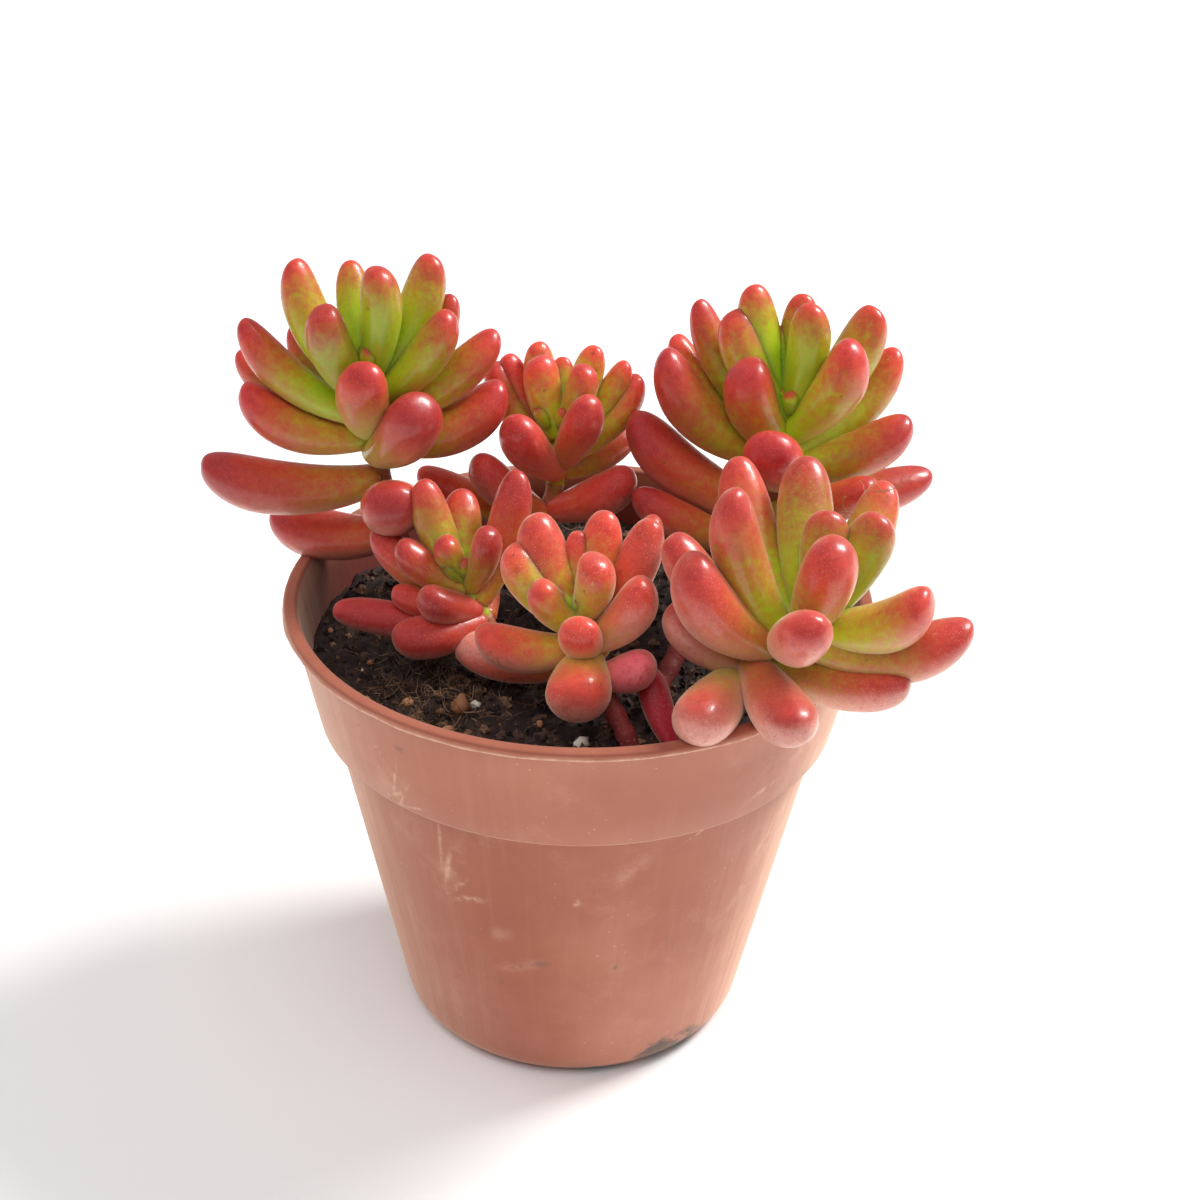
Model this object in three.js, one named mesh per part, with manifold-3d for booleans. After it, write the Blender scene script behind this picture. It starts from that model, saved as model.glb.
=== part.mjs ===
// A jelly bean plant, Sedum rubrotinctum, growing in a small plastic nursery pot.
// Millimetres, +Z up. The origin is the centre of the pot's foot, on the ground.
import * as THREE from "three";
import { mergeVertices } from "three/addons/utils/BufferGeometryUtils.js";
import Module from "manifold-3d";

const wasm = await Module();
wasm.setup();

// ---- Driving dimensions ----

const POT_HEIGHT = 56.5;
const RIM_RADIUS = 35;
const LIP_HEIGHT = 1;
const LIP_OVERHANG = 0.9;
const WALL = 0.9;
const DRAFT = Math.tan(THREE.MathUtils.degToRad(12)); // how fast the wall widens as it rises
const COLLAR_HEIGHT = 13.6;
const COLLAR_STEP = 1.5;
const FOOT_CURVE = 3;
const FLOOR = 1.2;
const DRAIN_HOLES = 8;
const DRAIN_RADIUS = 2.2;
const DRAIN_SEGMENTS = 10;
const POT_SEGMENTS = 36;

const GAP = 0.3; // the clearance between pieces that touch
const SOIL_LEVEL = 49.5;
const SOIL_RELIEF = 0.8;
const SOIL_SEGMENTS = 28;
const ROOT_DEPTH = 5;

const STEM_RADIUS = 1;
const STEM_SIDES = 6;
const STEM_STEP = 4; // length of one straight run of a stem
const LEAF_SIDES = 6;
const LEAF_RINGS = 5;
const LEAF_FOOT = 0.42; // half-width of the foot, as a share of the half-width of the belly
const LEAF_SHOULDER = 0.64; // how far along the leaf it is widest
const LEAF_FLATNESS = 0.9; // thickness as a share of the width
const LEAF_SWELL = 1.1; // how late the leaf swells between its foot and its widest part
const LEAF_BLUNTNESS = 2.4; // 2 gives an oval end, and more a blunter one
const CROWN_RIPENESS = 0.35;

// ---- The plant ----

// A stem runs from its growing tip down to where it enters the soil.
// A leaf is [down, turn, rise, length, width, belly]: how far its foot is below the tip along the
// stem, the direction and the steepness of its chord in degrees, its length and width, and how far
// it bows below that chord as a share of its length. The young leaves of a shoot are joined in its
// crown, and each grown leaf is a piece of its own.
const SHOOTS = {
  left: {
    stem: [[-25, 8, 81], [-25, 9, 72], [-23.5, 8, 66], [-18.5, 4, SOIL_LEVEL]],
    crownDepth: 11,
    young: [
      [1, 15, 85, 14, 5.4, 0.05],
      [1.5, 108, 52, 15, 4.2, 0.06],
      [2.5, 41, 57, 17.5, 5.3, 0.08],
      [3, 150, 54, 18, 5.5, 0.12],
      [4, 0, 50, 15, 5.4, 0.08],
      [4, 205, 66, 14, 5.8, 0.08],
      [6, 15, 31, 18, 5.4, 0.08],
      [7, 33, 51, 18, 4.5, 0.08],
      [7, 137, 32, 16, 4.8, 0.08],
      [9, 80, 30, 16, 5, 0.1],
    ],
    grown: [
      [6.3, 171, 35.5, 19, 5.2, 0.12],
      [8, 268, 59, 13, 6.1, 0.08],
      [9, 12, 18, 17, 6.8, 0.14],
      [9, 153, 20, 20, 4.8, 0.1],
      [9, 180, 21, 16.5, 6, 0.14],
      [11, 309, 47, 13.7, 7.3, 0.08],
      [14, 187, 6, 21.5, 7.1, 0.1],
      [17, 276, 25, 12, 7.4, 0.05],
      [21, 161, -4, 17, 6.8, 0.09],
    ],
  },
  back: {
    stem: [[-2.5, 14, 71.5], [-3, 14, 65], [-4, 13, 60], [-3.5, 10, SOIL_LEVEL]],
    crownDepth: 8,
    young: [
      [0.5, 90, 66, 9, 3, 0.02],
      [1, 10, 72, 9.5, 4.3, 0.04],
      [1.5, 138, 69, 10.5, 4.9, 0.04],
      [2, 48, 60, 12.5, 4.1, 0.05],
      [2, 122, 63, 12.5, 4.1, 0.05],
      [3, 27, 48, 13.5, 4, 0.08],
      [4, 22, 41, 14, 4.6, 0.08],
      [4, 144, 54, 14, 4.1, 0.06],
      [4, 153, 48, 14, 4.9, 0.08],
      [5, 322, 65, 11.5, 5.2, 0.06],
    ],
    grown: [
      [6, 41, 11, 12.5, 4.9, 0.06],
      [6, 85, 25, 13, 4.8, 0.08],
      [6, 229, 50, 12.5, 5.8, 0.06],
      [11, 341, 32, 12.5, 5.8, 0.06],
      [12, 175, 18, 17, 4.9, 0.06],
      [12, 208, 46, 14, 5.4, 0.06],
    ],
  },
  right: {
    stem: [[24.5, 10, 76], [24, 10, 69.5], [22, 8, 62.5], [12.5, -6, 54], [9, -11.5, SOIL_LEVEL]],
    crownDepth: 9,
    young: [
      [0, 102, 55, 10.5, 2.8, 0.02],
      [0.5, 40, 79, 14, 5.2, 0.05],
      [1.5, 125, 62, 17, 5, 0.06],
      [1.5, 142, 54, 15, 6.3, 0.06],
      [2, 77, 64, 16, 4.6, 0.06],
      [3, 31, 49, 18.5, 6, 0.12],
      [3, 138, 42, 19.5, 4.8, 0.14],
      [3, 345, 60, 15, 6.7, 0.1],
      [5, 32, 30, 19, 5.8, 0.14],
      [5, 193, 66, 13, 7.1, 0.09],
      [8, 136, 35, 21.5, 4.6, 0.08],
    ],
    grown: [
      [6, 170, 39, 19.5, 6.8, 0.15],
      [7, 3, 20, 16.5, 6.3, 0.1],
      [8, 258, 39, 13.5, 7, 0.04],
      [9, 85, 25, 17, 5.4, 0.1],
      [12, 18, 3, 21.5, 5.8, 0.06],
      [13, 337, 26, 15, 5.2, 0.05],
      [13, 163, 30, 20, 6.9, 0.1],
      [18, 168, 20, 15, 5.3, 0.05],
    ],
  },
  leaning: {
    stem: [[28, -19, 66], [23.5, -20, 62.5], [18.5, -20, 58.5], [12, -15, SOIL_LEVEL]],
    crownDepth: 7,
    young: [
      [0, 35, 51, 6, 2.4, 0.02],
      [1, 37, 54, 12.5, 5.7, 0.08],
      [2, 81, 63, 12, 5.4, 0.05],
      [3, 58, 31, 20, 5.6, 0.08],
      [3, 91, 41, 20, 6.4, 0.06],
      [4.5, 332, 74, 13, 7, 0.04],
      [6, 164, 67, 19, 6.3, 0.1],
    ],
    grown: [
      [3, 340, 25, 14.5, 6.5, 0.15],
      [5, 111, 36, 22.5, 6.1, 0.1],
      [5, 355, 6, 19.5, 7.2, 0.15],
      [6.5, 276, 36, 16, 6.3, 0.04],
      [8, 189, 49, 16, 7.5, 0.12],
      [9, 150, 41, 17, 5.6, 0.05],
      [10, 345, -2, 17, 5.8, 0.09],
      [11, 284, 4, 16.5, 6.6, 0.05],
      [12, 163, 33, 11, 5, 0.1],
      [14, 250, 7, 15.4, 6.8, 0.03],
    ],
  },
  small: {
    stem: [[-13.5, -5, 61.5], [-12.5, -6, 59], [-10, -7, 55], [-8, -9, SOIL_LEVEL]],
    crownDepth: 6,
    young: [
      [0, 119, 23, 7, 2.5, 0.02],
      [0.5, 184, 64, 6, 3.7, 0.03],
      [1, 96, 43, 11.5, 4.6, 0.05],
      [2, 340, 74, 9, 4, 0.05],
      [2, 175, 34, 10, 4.4, 0.08],
      [2.5, 137, 56, 14.5, 4.6, 0.06],
      [5.5, 176, 14, 11, 3.8, 0.04],
    ],
    grown: [
      [4, 56, 60, 16.5, 4.8, 0.05],
      [5, 155, 27, 16, 4.7, 0.06],
      [4.5, 215, 27, 8.5, 4.7, 0.06],
      [6, 100, 15, 13, 4.6, 0.06],
      [6, 207, 0, 11.5, 5.5, 0.04],
      [8, 175, 6, 19, 4.5, 0.01],
    ],
  },
  front: {
    stem: [[0, -15, 62.5], [1, -16, 57.5], [3, -18, 54], [6.2, -22, SOIL_LEVEL]],
    crownDepth: 6,
    young: [
      [0, 107, 34, 5.5, 2.7, 0.02],
      [1, 0, 80, 8.5, 5.1, 0.08],
      [1.5, 157, 41, 12, 5.6, 0.08],
      [2.5, 182, 49, 8.5, 4.5, 0.05],
      [3, 71, 61, 14.5, 4.8, 0.04],
      [3, 99, 62, 12, 3.4, 0.03],
      [3, 134, 55, 15, 5.9, 0.05],
      [5, 259, 51, 8.5, 4.8, 0.03],
      [6, 64, 33, 20, 4.3, 0.04],
    ],
    grown: [
      [4, 180, 5, 12.5, 5.5, 0.12],
      [4, 348, 53, 11.5, 5.6, 0.1],
      [5, 36, 58, 17, 5.2, 0.05],
      [5.5, 156, -9, 16.8, 6, 0.08],
      [5.2, 261, -7, 10, 7, 0.02],
      [8, 338, 28, 7.5, 5, 0.04],
    ],
  },
};

// A leaf that has taken root by itself and stands in the soil.
const ROOTED_LEAF = { foot: [11, -22, SOIL_LEVEL - 0.4], shape: [0, 117, 46, 9.5, 3.6, 0.03] };

// ---- Solids ----

function solidFrom(geometry) {
  const bare = geometry.clone();
  bare.deleteAttribute("normal");
  bare.deleteAttribute("uv");
  const merged = mergeVertices(bare, 1e-4);
  const triangles = [];
  for (let i = 0; i < merged.index.count; i += 3) {
    const [a, b, c] = [0, 1, 2].map((k) => merged.index.getX(i + k));
    if (a !== b && b !== c && c !== a) triangles.push(a, b, c);
  }
  const body = {
    numProp: 3,
    vertProperties: merged.attributes.position.array,
    triVerts: new Uint32Array(triangles),
  };
  return new wasm.Manifold(new wasm.Mesh(body));
}

function largestBody(solid) {
  const bodies = solid.decompose();
  return bodies.reduce((best, body) => (body.volume() > best.volume() ? body : best));
}

function boxesMeet(solid, other) {
  const a = solid.boundingBox();
  const b = other.boundingBox();
  return [0, 1, 2].every((i) => a.min[i] < b.max[i] && b.min[i] < a.max[i]);
}

function clearOf(solid, neighbours) {
  const near = neighbours.filter((neighbour) => boxesMeet(solid, neighbour));
  return near.length ? largestBody(near.reduce((left, other) => left.subtract(other), solid)) : solid;
}

function meshFrom(name, solid, material) {
  const { vertProperties, triVerts } = solid.getMesh();
  const geometry = new THREE.BufferGeometry();
  geometry.setAttribute("position", new THREE.BufferAttribute(vertProperties, 3));
  geometry.setIndex(new THREE.BufferAttribute(triVerts, 1));
  geometry.computeVertexNormals();
  const mesh = new THREE.Mesh(geometry, material);
  mesh.name = name;
  return mesh;
}

function plasticMaterial() {
  return new THREE.MeshStandardMaterial({ color: 0xb8735c, roughness: 0.62, metalness: 0 });
}

function soilMaterial() {
  return new THREE.MeshStandardMaterial({ color: 0x33251d, roughness: 0.95, metalness: 0 });
}

function stemMaterial() {
  return new THREE.MeshStandardMaterial({ color: 0x7a3a34, roughness: 0.7, metalness: 0 });
}

function leafMaterial(ripeness) {
  const color = new THREE.Color(0x8fa32a).lerp(new THREE.Color(0xc2402f), ripeness);
  return new THREE.MeshStandardMaterial({ color, roughness: 0.35, metalness: 0 });
}

// ---- The pot ----

const COLLAR_TOP = POT_HEIGHT - LIP_HEIGHT;
const COLLAR_BOTTOM = COLLAR_TOP - COLLAR_HEIGHT;

function outerRadius(z) {
  const step = z < COLLAR_BOTTOM ? COLLAR_STEP : 0;
  return RIM_RADIUS - LIP_OVERHANG - step - (COLLAR_TOP - z) * DRAFT;
}

function innerRadius(z) {
  return outerRadius(z) - WALL;
}

function lathe(path, curveDivisions, segments) {
  const turned = new THREE.LatheGeometry(path.getPoints(curveDivisions), segments);
  return turned.rotateX(Math.PI / 2);
}

function potShell() {
  const belowStep = COLLAR_BOTTOM - COLLAR_STEP / 2;
  const profile = new THREE.Path();
  profile.moveTo(0, 0);
  profile.lineTo(outerRadius(0) - FOOT_CURVE, 0);
  profile.quadraticCurveTo(outerRadius(0), 0, outerRadius(FOOT_CURVE), FOOT_CURVE);
  profile.lineTo(outerRadius(belowStep), belowStep);
  profile.lineTo(outerRadius(COLLAR_BOTTOM), COLLAR_BOTTOM);
  profile.lineTo(outerRadius(COLLAR_TOP), COLLAR_TOP);
  profile.lineTo(RIM_RADIUS, COLLAR_TOP);
  profile.lineTo(RIM_RADIUS, POT_HEIGHT);
  profile.lineTo(RIM_RADIUS - LIP_OVERHANG - WALL / 2, POT_HEIGHT);
  profile.lineTo(innerRadius(COLLAR_TOP), COLLAR_TOP);
  profile.lineTo(innerRadius(COLLAR_BOTTOM), COLLAR_BOTTOM);
  profile.lineTo(innerRadius(belowStep - WALL), belowStep - WALL);
  profile.lineTo(innerRadius(FOOT_CURVE + FLOOR), FOOT_CURVE + FLOOR);
  profile.quadraticCurveTo(innerRadius(FLOOR), FLOOR, outerRadius(0) - FOOT_CURVE - WALL, FLOOR);
  profile.lineTo(0, FLOOR);
  return solidFrom(lathe(profile, 3, POT_SEGMENTS));
}

function drainHole(index) {
  const angle = (index / DRAIN_HOLES) * 2 * Math.PI;
  const reach = outerRadius(0) - FOOT_CURVE - DRAIN_RADIUS - WALL;
  const plug = new THREE.CylinderGeometry(DRAIN_RADIUS, DRAIN_RADIUS, 4 * FLOOR, DRAIN_SEGMENTS);
  plug.rotateX(Math.PI / 2);
  plug.translate(reach * Math.cos(angle), reach * Math.sin(angle), 0);
  return solidFrom(plug);
}

function pot() {
  const holes = Array.from({ length: DRAIN_HOLES }, (_, index) => drainHole(index));
  return holes.reduce((shell, hole) => shell.subtract(hole), potShell());
}

// ---- The soil ----

function soilRelief(x, y) {
  const swell = Math.sin(x / 4.3 + 1) * Math.cos(y / 5.1) + 0.5 * Math.sin(x / 2.1 - y / 2.7);
  const edge = Math.hypot(x, y) / innerRadius(SOIL_LEVEL);
  return SOIL_RELIEF * swell * Math.max(0, 1 - edge ** 4);
}

function soil() {
  const belowStep = COLLAR_BOTTOM - COLLAR_STEP / 2 - WALL;
  const surfaceRings = 6;
  const surface = innerRadius(SOIL_LEVEL) - GAP;
  const profile = new THREE.Path();
  profile.moveTo(0, FLOOR + GAP);
  profile.lineTo(outerRadius(0) - FOOT_CURVE - WALL, FLOOR + GAP);
  profile.lineTo(innerRadius(FOOT_CURVE + FLOOR) - GAP, FOOT_CURVE + FLOOR);
  profile.lineTo(innerRadius(belowStep) - GAP, belowStep);
  profile.lineTo(innerRadius(COLLAR_BOTTOM) - COLLAR_STEP - GAP, COLLAR_BOTTOM);
  profile.lineTo(innerRadius(COLLAR_BOTTOM + COLLAR_STEP) - GAP, COLLAR_BOTTOM + COLLAR_STEP);
  for (let ring = surfaceRings; ring >= 0; ring -= 1) {
    profile.lineTo((surface * ring) / surfaceRings, SOIL_LEVEL);
  }
  const fill = lathe(profile, 1, SOIL_SEGMENTS);
  const vertices = fill.attributes.position;
  for (let i = 0; i < vertices.count; i += 1) {
    if (vertices.getZ(i) > SOIL_LEVEL - GAP) {
      vertices.setZ(i, SOIL_LEVEL + soilRelief(vertices.getX(i), vertices.getY(i)));
    }
  }
  return solidFrom(fill);
}

// ---- Stems ----

// The point that is a given distance below the tip, along the stem's straight runs.
function pointDown(stem, down) {
  const points = stem.map((point) => new THREE.Vector3(...point));
  let left = down;
  for (let i = 0; i + 1 < points.length; i += 1) {
    const run = points[i].distanceTo(points[i + 1]);
    if (left <= run || i + 2 === points.length) return points[i].lerp(points[i + 1], left / run);
    left -= run;
  }
}

function stemLength(stem) {
  const points = stem.map((point) => new THREE.Vector3(...point));
  return points.slice(1).reduce((sum, point, i) => sum + point.distanceTo(points[i]), 0);
}

function stemTube(stem, from, to, radius) {
  const steps = Math.max(2, Math.round((to - from) / STEM_STEP));
  const run = (to - from) / steps;
  const route = Array.from({ length: steps + 1 }, (_, i) => pointDown(stem, from + run * i));
  const section = new THREE.Shape().absarc(0, 0, radius, 0, 2 * Math.PI);
  const tube = new THREE.ExtrudeGeometry(section, {
    steps,
    curveSegments: STEM_SIDES / 2,
    bevelEnabled: false,
    extrudePath: new THREE.CatmullRomCurve3(route),
  });
  return solidFrom(tube);
}

// ---- Leaves ----

function leafHalfWidth(share) {
  if (share < LEAF_SHOULDER) {
    const swell = Math.sin((Math.PI / 2) * (share / LEAF_SHOULDER)) ** LEAF_SWELL;
    return LEAF_FOOT + (1 - LEAF_FOOT) * swell;
  }
  const beyond = (share - LEAF_SHOULDER) / (1 - LEAF_SHOULDER);
  return Math.sqrt(Math.max(0, 1 - beyond ** LEAF_BLUNTNESS));
}

// A club-shaped leaf: turned as a round profile, then bent along its bow and set on its foot.
function leaf(foot, [, turnDegrees, riseDegrees, length, width, belly], swollenBy = 0) {
  const turn = THREE.MathUtils.degToRad(turnDegrees);
  const rise = THREE.MathUtils.degToRad(riseDegrees);
  const along = new THREE.Vector3(
    Math.cos(rise) * Math.cos(turn),
    Math.cos(rise) * Math.sin(turn),
    Math.sin(rise),
  );
  const under = new THREE.Vector3(
    Math.sin(rise) * Math.cos(turn),
    Math.sin(rise) * Math.sin(turn),
    -Math.cos(rise),
  );
  const across = new THREE.Vector3().crossVectors(along, under);
  const profile = [new THREE.Vector2(0, -swollenBy)];
  for (let ring = 0; ring < LEAF_RINGS; ring += 1) {
    const share = (1 - Math.cos((Math.PI * ring) / LEAF_RINGS)) / 2;
    profile.push(new THREE.Vector2((width / 2) * leafHalfWidth(share) + swollenBy, share * length));
  }
  profile[1].y = -swollenBy;
  profile.push(new THREE.Vector2(0, length + swollenBy));
  const club = new THREE.LatheGeometry(profile, LEAF_SIDES);
  const vertices = club.attributes.position;
  const placed = new THREE.Vector3();
  for (let i = 0; i < vertices.count; i += 1) {
    const share = vertices.getY(i) / length;
    const bow = 4 * share * (1 - share) * belly * length;
    placed.copy(foot);
    placed.addScaledVector(along, vertices.getY(i));
    placed.addScaledVector(under, bow + vertices.getZ(i) * LEAF_FLATNESS);
    placed.addScaledVector(across, vertices.getX(i));
    vertices.setXYZ(i, placed.x, placed.y, placed.z);
  }
  return solidFrom(club);
}

// ---- Crowns: the growing tip of a shoot with its young leaves ----

function crown(shoot, swollenBy = 0) {
  const core = stemTube(shoot.stem, 0, shoot.crownDepth + swollenBy, STEM_RADIUS + swollenBy);
  const leaves = shoot.young.map((row) => leaf(pointDown(shoot.stem, row[0]), row, swollenBy));
  return leaves.reduce((whole, one) => whole.add(one), core);
}

function lowerStem(shoot, swollenBy = 0) {
  const rooted = [...shoot.stem];
  const [x, y, z] = rooted.at(-1);
  rooted.push([x, y, z - ROOT_DEPTH]);
  return stemTube(rooted, shoot.crownDepth + GAP, stemLength(rooted) + swollenBy, STEM_RADIUS + swollenBy);
}

// ---- The whole plant in its pot ----

// Each piece is cut clear of the pieces before it. The soil comes last, so the stems stand in it.
const plant = new THREE.Group();
const shell = pot();
const taken = [shell];
plant.add(meshFrom("pot", shell, plasticMaterial()));

for (const [name, shoot] of Object.entries(SHOOTS)) {
  plant.add(meshFrom(`stem_${name}`, clearOf(lowerStem(shoot), taken), stemMaterial()));
  taken.push(lowerStem(shoot, GAP));
}
for (const [name, shoot] of Object.entries(SHOOTS)) {
  plant.add(meshFrom(`crown_${name}`, clearOf(crown(shoot), taken), leafMaterial(CROWN_RIPENESS)));
  taken.push(crown(shoot, GAP));
}
for (const [name, shoot] of Object.entries(SHOOTS)) {
  const deepest = stemLength(shoot.stem);
  shoot.grown.forEach((row, i) => {
    const foot = pointDown(shoot.stem, row[0]);
    const label = `leaf_${name}_${String(i + 1).padStart(2, "0")}`;
    const ripeness = 0.5 + 0.5 * Math.min(1, row[0] / deepest);
    plant.add(meshFrom(label, clearOf(leaf(foot, row), taken), leafMaterial(ripeness)));
    taken.push(leaf(foot, row, GAP));
  });
}
const rootedFoot = new THREE.Vector3(...ROOTED_LEAF.foot);
plant.add(meshFrom("leaf_rooted", clearOf(leaf(rootedFoot, ROOTED_LEAF.shape), taken), leafMaterial(1)));
taken.push(leaf(rootedFoot, ROOTED_LEAF.shape, GAP));

plant.add(meshFrom("soil", clearOf(soil(), taken.slice(1)), soilMaterial()));

export default plant;
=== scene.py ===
"""A jelly bean plant, Sedum rubrotinctum, in its small terracotta-coloured nursery pot.

The lists of stems and leaves are in millimetres. Everything built from them is in metres, with the
origin at the centre of the pot's foot, +Z up, and the front of the plant towards -Y.
"""
import math
import random

import bmesh
import bpy
from mathutils import Matrix, Vector, noise


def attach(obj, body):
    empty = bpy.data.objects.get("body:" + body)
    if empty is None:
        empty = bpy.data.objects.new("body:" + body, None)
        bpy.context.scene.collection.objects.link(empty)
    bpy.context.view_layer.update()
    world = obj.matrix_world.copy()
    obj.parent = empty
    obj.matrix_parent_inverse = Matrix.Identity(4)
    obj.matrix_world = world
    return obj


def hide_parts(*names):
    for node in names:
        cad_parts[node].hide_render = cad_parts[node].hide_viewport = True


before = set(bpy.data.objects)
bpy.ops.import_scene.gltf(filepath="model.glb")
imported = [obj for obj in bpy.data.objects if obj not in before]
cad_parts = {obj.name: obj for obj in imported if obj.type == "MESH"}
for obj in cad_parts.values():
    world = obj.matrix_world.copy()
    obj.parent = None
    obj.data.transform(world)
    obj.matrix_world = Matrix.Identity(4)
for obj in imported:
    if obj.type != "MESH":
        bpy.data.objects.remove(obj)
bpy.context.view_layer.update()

MM = 0.001
ROOT = "root"

# ---- The plant ----

# A stem runs from its growing tip down to the soil, and its young leaves reach down to the crown depth.
# A shoot's painted light lightens or darkens all its leaves: painted light and shade, for the light
# that reaches that shoot. The bloom says how frosted the old ones are below, and the haze how much pale
# down shows at their edges.
# A leaf is [down, turn, rise, length, width, belly, ripeness]: how far its foot is below the tip, the
# direction and steepness of its chord in degrees, its length and width, how far it bows below the
# chord as a share of its length, and how far its red has spread: 0 is green with a hint at the tip,
# 0.5 is red to the middle, 1 is red all over, and beyond 1.1 a starved leaf turns pink.
SOIL_LEVEL = 49.5
SHOOTS = {}
SHOOTS["left"] = {
    "stem": [[-25, 8, 81], [-25, 9, 72], [-23.5, 8, 66], [-18.5, 4, SOIL_LEVEL]],
    "crown_depth": 11, "shoot_painted_light": -0.3, "bloom": 0.25, "haze": 0.06,
    "young": [
        [1, 15, 85, 14, 5.4, 0.05, 0.16],
        [1.5, 108, 52, 15, 4.2, 0.06, 0.16],
        [2.5, 41, 57, 17.5, 5.3, 0.08, 0.21],
        [3, 150, 54, 18, 5.5, 0.12, 0.25],
        [4, 0, 50, 15, 5.4, 0.08, 0.25],
        [4, 205, 66, 14, 5.8, 0.08, 0.22],
        [6, 15, 31, 18, 5.4, 0.08, 0.35],
        [7, 33, 51, 18, 4.5, 0.08, 0.31],
        [7, 137, 32, 16, 4.8, 0.08, 0.35],
        [9, 80, 30, 16, 5, 0.1, 0.35],
    ],
    "grown": [
        [6.3, 171, 35.5, 19, 5.2, 0.12, 0.38],
        [8, 268, 59, 13, 6.1, 0.08, 0.36],
        [9, 12, 18, 17, 6.8, 0.14, 0.47],
        [9, 153, 20, 20, 4.8, 0.1, 0.34],
        [9, 180, 21, 16.5, 6, 0.14, 0.5],
        [11, 309, 47, 13.7, 7.3, 0.08, 0.52],
        [14, 187, 6, 21.5, 7.1, 0.1, 0.63],
        [17, 276, 25, 12, 7.4, 0.05, 0.42],
        [21, 161, -4, 17, 6.8, 0.09, 0.72],
    ],
}
SHOOTS["back"] = {
    "stem": [[-2.5, 14, 71.5], [-3, 14, 65], [-4, 13, 60], [-3.5, 10, SOIL_LEVEL]],
    "crown_depth": 8, "shoot_painted_light": 0.5, "bloom": 0.35, "haze": 0.3,
    "young": [
        [0.5, 90, 66, 9, 3, 0.02, 0.24],
        [1, 10, 72, 9.5, 4.3, 0.04, 0.31],
        [1.5, 138, 69, 10.5, 4.9, 0.04, 0.37],
        [2, 48, 60, 12.5, 4.1, 0.05, 0.24],
        [2, 122, 63, 12.5, 4.1, 0.05, 0.26],
        [3, 27, 48, 13.5, 4, 0.08, 0.28],
        [4, 22, 41, 14, 4.6, 0.08, 0.36],
        [4, 144, 54, 14, 4.1, 0.06, 0.54],
        [4, 153, 48, 14, 4.9, 0.08, 0.42],
        [5, 322, 65, 11.5, 5.2, 0.06, 0.6],
    ],
    "grown": [
        [6, 41, 11, 12.5, 4.9, 0.06, 0.54],
        [6, 85, 25, 13, 4.8, 0.08, 0.5],
        [6, 229, 50, 12.5, 5.8, 0.06, 0.68],
        [11, 341, 32, 12.5, 5.8, 0.06, 0.75],
        [12, 175, 18, 17, 4.9, 0.06, 0.53],
        [12, 208, 46, 14, 5.4, 0.06, 0.65],
    ],
}
SHOOTS["right"] = {
    "stem": [[24.5, 10, 76], [24, 10, 69.5], [22, 8, 62.5], [12.5, -6, 54], [9, -11.5, SOIL_LEVEL]],
    "crown_depth": 9, "shoot_painted_light": -0.08, "bloom": 0.3, "haze": 0.06,
    "young": [
        [0, 102, 55, 10.5, 2.8, 0.02, 0.06],
        [0.5, 40, 79, 14, 5.2, 0.05, 0.17],
        [1.5, 125, 62, 17, 5, 0.06, 0.16],
        [1.5, 142, 54, 15, 6.3, 0.06, 0.3],
        [2, 77, 64, 16, 4.6, 0.06, 0.24],
        [3, 31, 49, 18.5, 6, 0.12, 0.23],
        [3, 138, 42, 19.5, 4.8, 0.14, 0.35],
        [3, 345, 60, 15, 6.7, 0.1, 0.34],
        [5, 32, 30, 19, 5.8, 0.14, 0.29],
        [5, 193, 66, 13, 7.1, 0.09, 0.45],
        [8, 136, 35, 21.5, 4.6, 0.08, 0.29],
    ],
    "grown": [
        [6, 170, 39, 19.5, 6.8, 0.15, 0.45],
        [7, 3, 20, 16.5, 6.3, 0.1, 0.43],
        [8, 258, 39, 13.5, 7, 0.04, 0.51],
        [9, 85, 25, 17, 5.4, 0.1, 0.4],
        [12, 18, 3, 21.5, 5.8, 0.06, 0.55],
        [13, 337, 26, 15, 5.2, 0.05, 0.47],
        [13, 163, 30, 20, 6.9, 0.1, 0.63],
        [18, 168, 20, 15, 5.3, 0.05, 0.58],
    ],
}
SHOOTS["leaning"] = {
    "stem": [[28, -19, 66], [23.5, -20, 62.5], [18.5, -20, 58.5], [12, -15, SOIL_LEVEL]],
    "crown_depth": 7, "shoot_painted_light": -0.3, "bloom": 0.9, "haze": 0.5,
    "young": [
        [0, 35, 51, 6, 2.4, 0.02, 0.2],
        [1, 37, 54, 12.5, 5.7, 0.08, 0.25],
        [2, 81, 63, 12, 5.4, 0.05, 0.26],
        [3, 58, 31, 20, 5.6, 0.08, 0.32],
        [3, 91, 41, 20, 6.4, 0.06, 0.32],
        [4.5, 332, 74, 13, 7, 0.04, 0.52],
        [6, 164, 67, 19, 6.3, 0.1, 0.45],
    ],
    "grown": [
        [3, 340, 25, 14.5, 6.5, 0.15, 0.34],
        [5, 111, 36, 22.5, 6.1, 0.1, 0.4],
        [5, 355, 6, 19.5, 7.2, 0.15, 0.49],
        [6.5, 276, 36, 16, 6.3, 0.04, 0.5],
        [8, 189, 49, 16, 7.5, 0.12, 0.58],
        [9, 150, 41, 17, 5.6, 0.05, 0.5],
        [10, 345, -2, 17, 5.8, 0.09, 0.52],
        [11, 284, 4, 16.5, 6.6, 0.05, 0.66],
        [12, 163, 33, 11, 5, 0.1, 0.66],
        [14, 250, 7, 15.4, 6.8, 0.03, 0.51],
    ],
}
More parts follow.
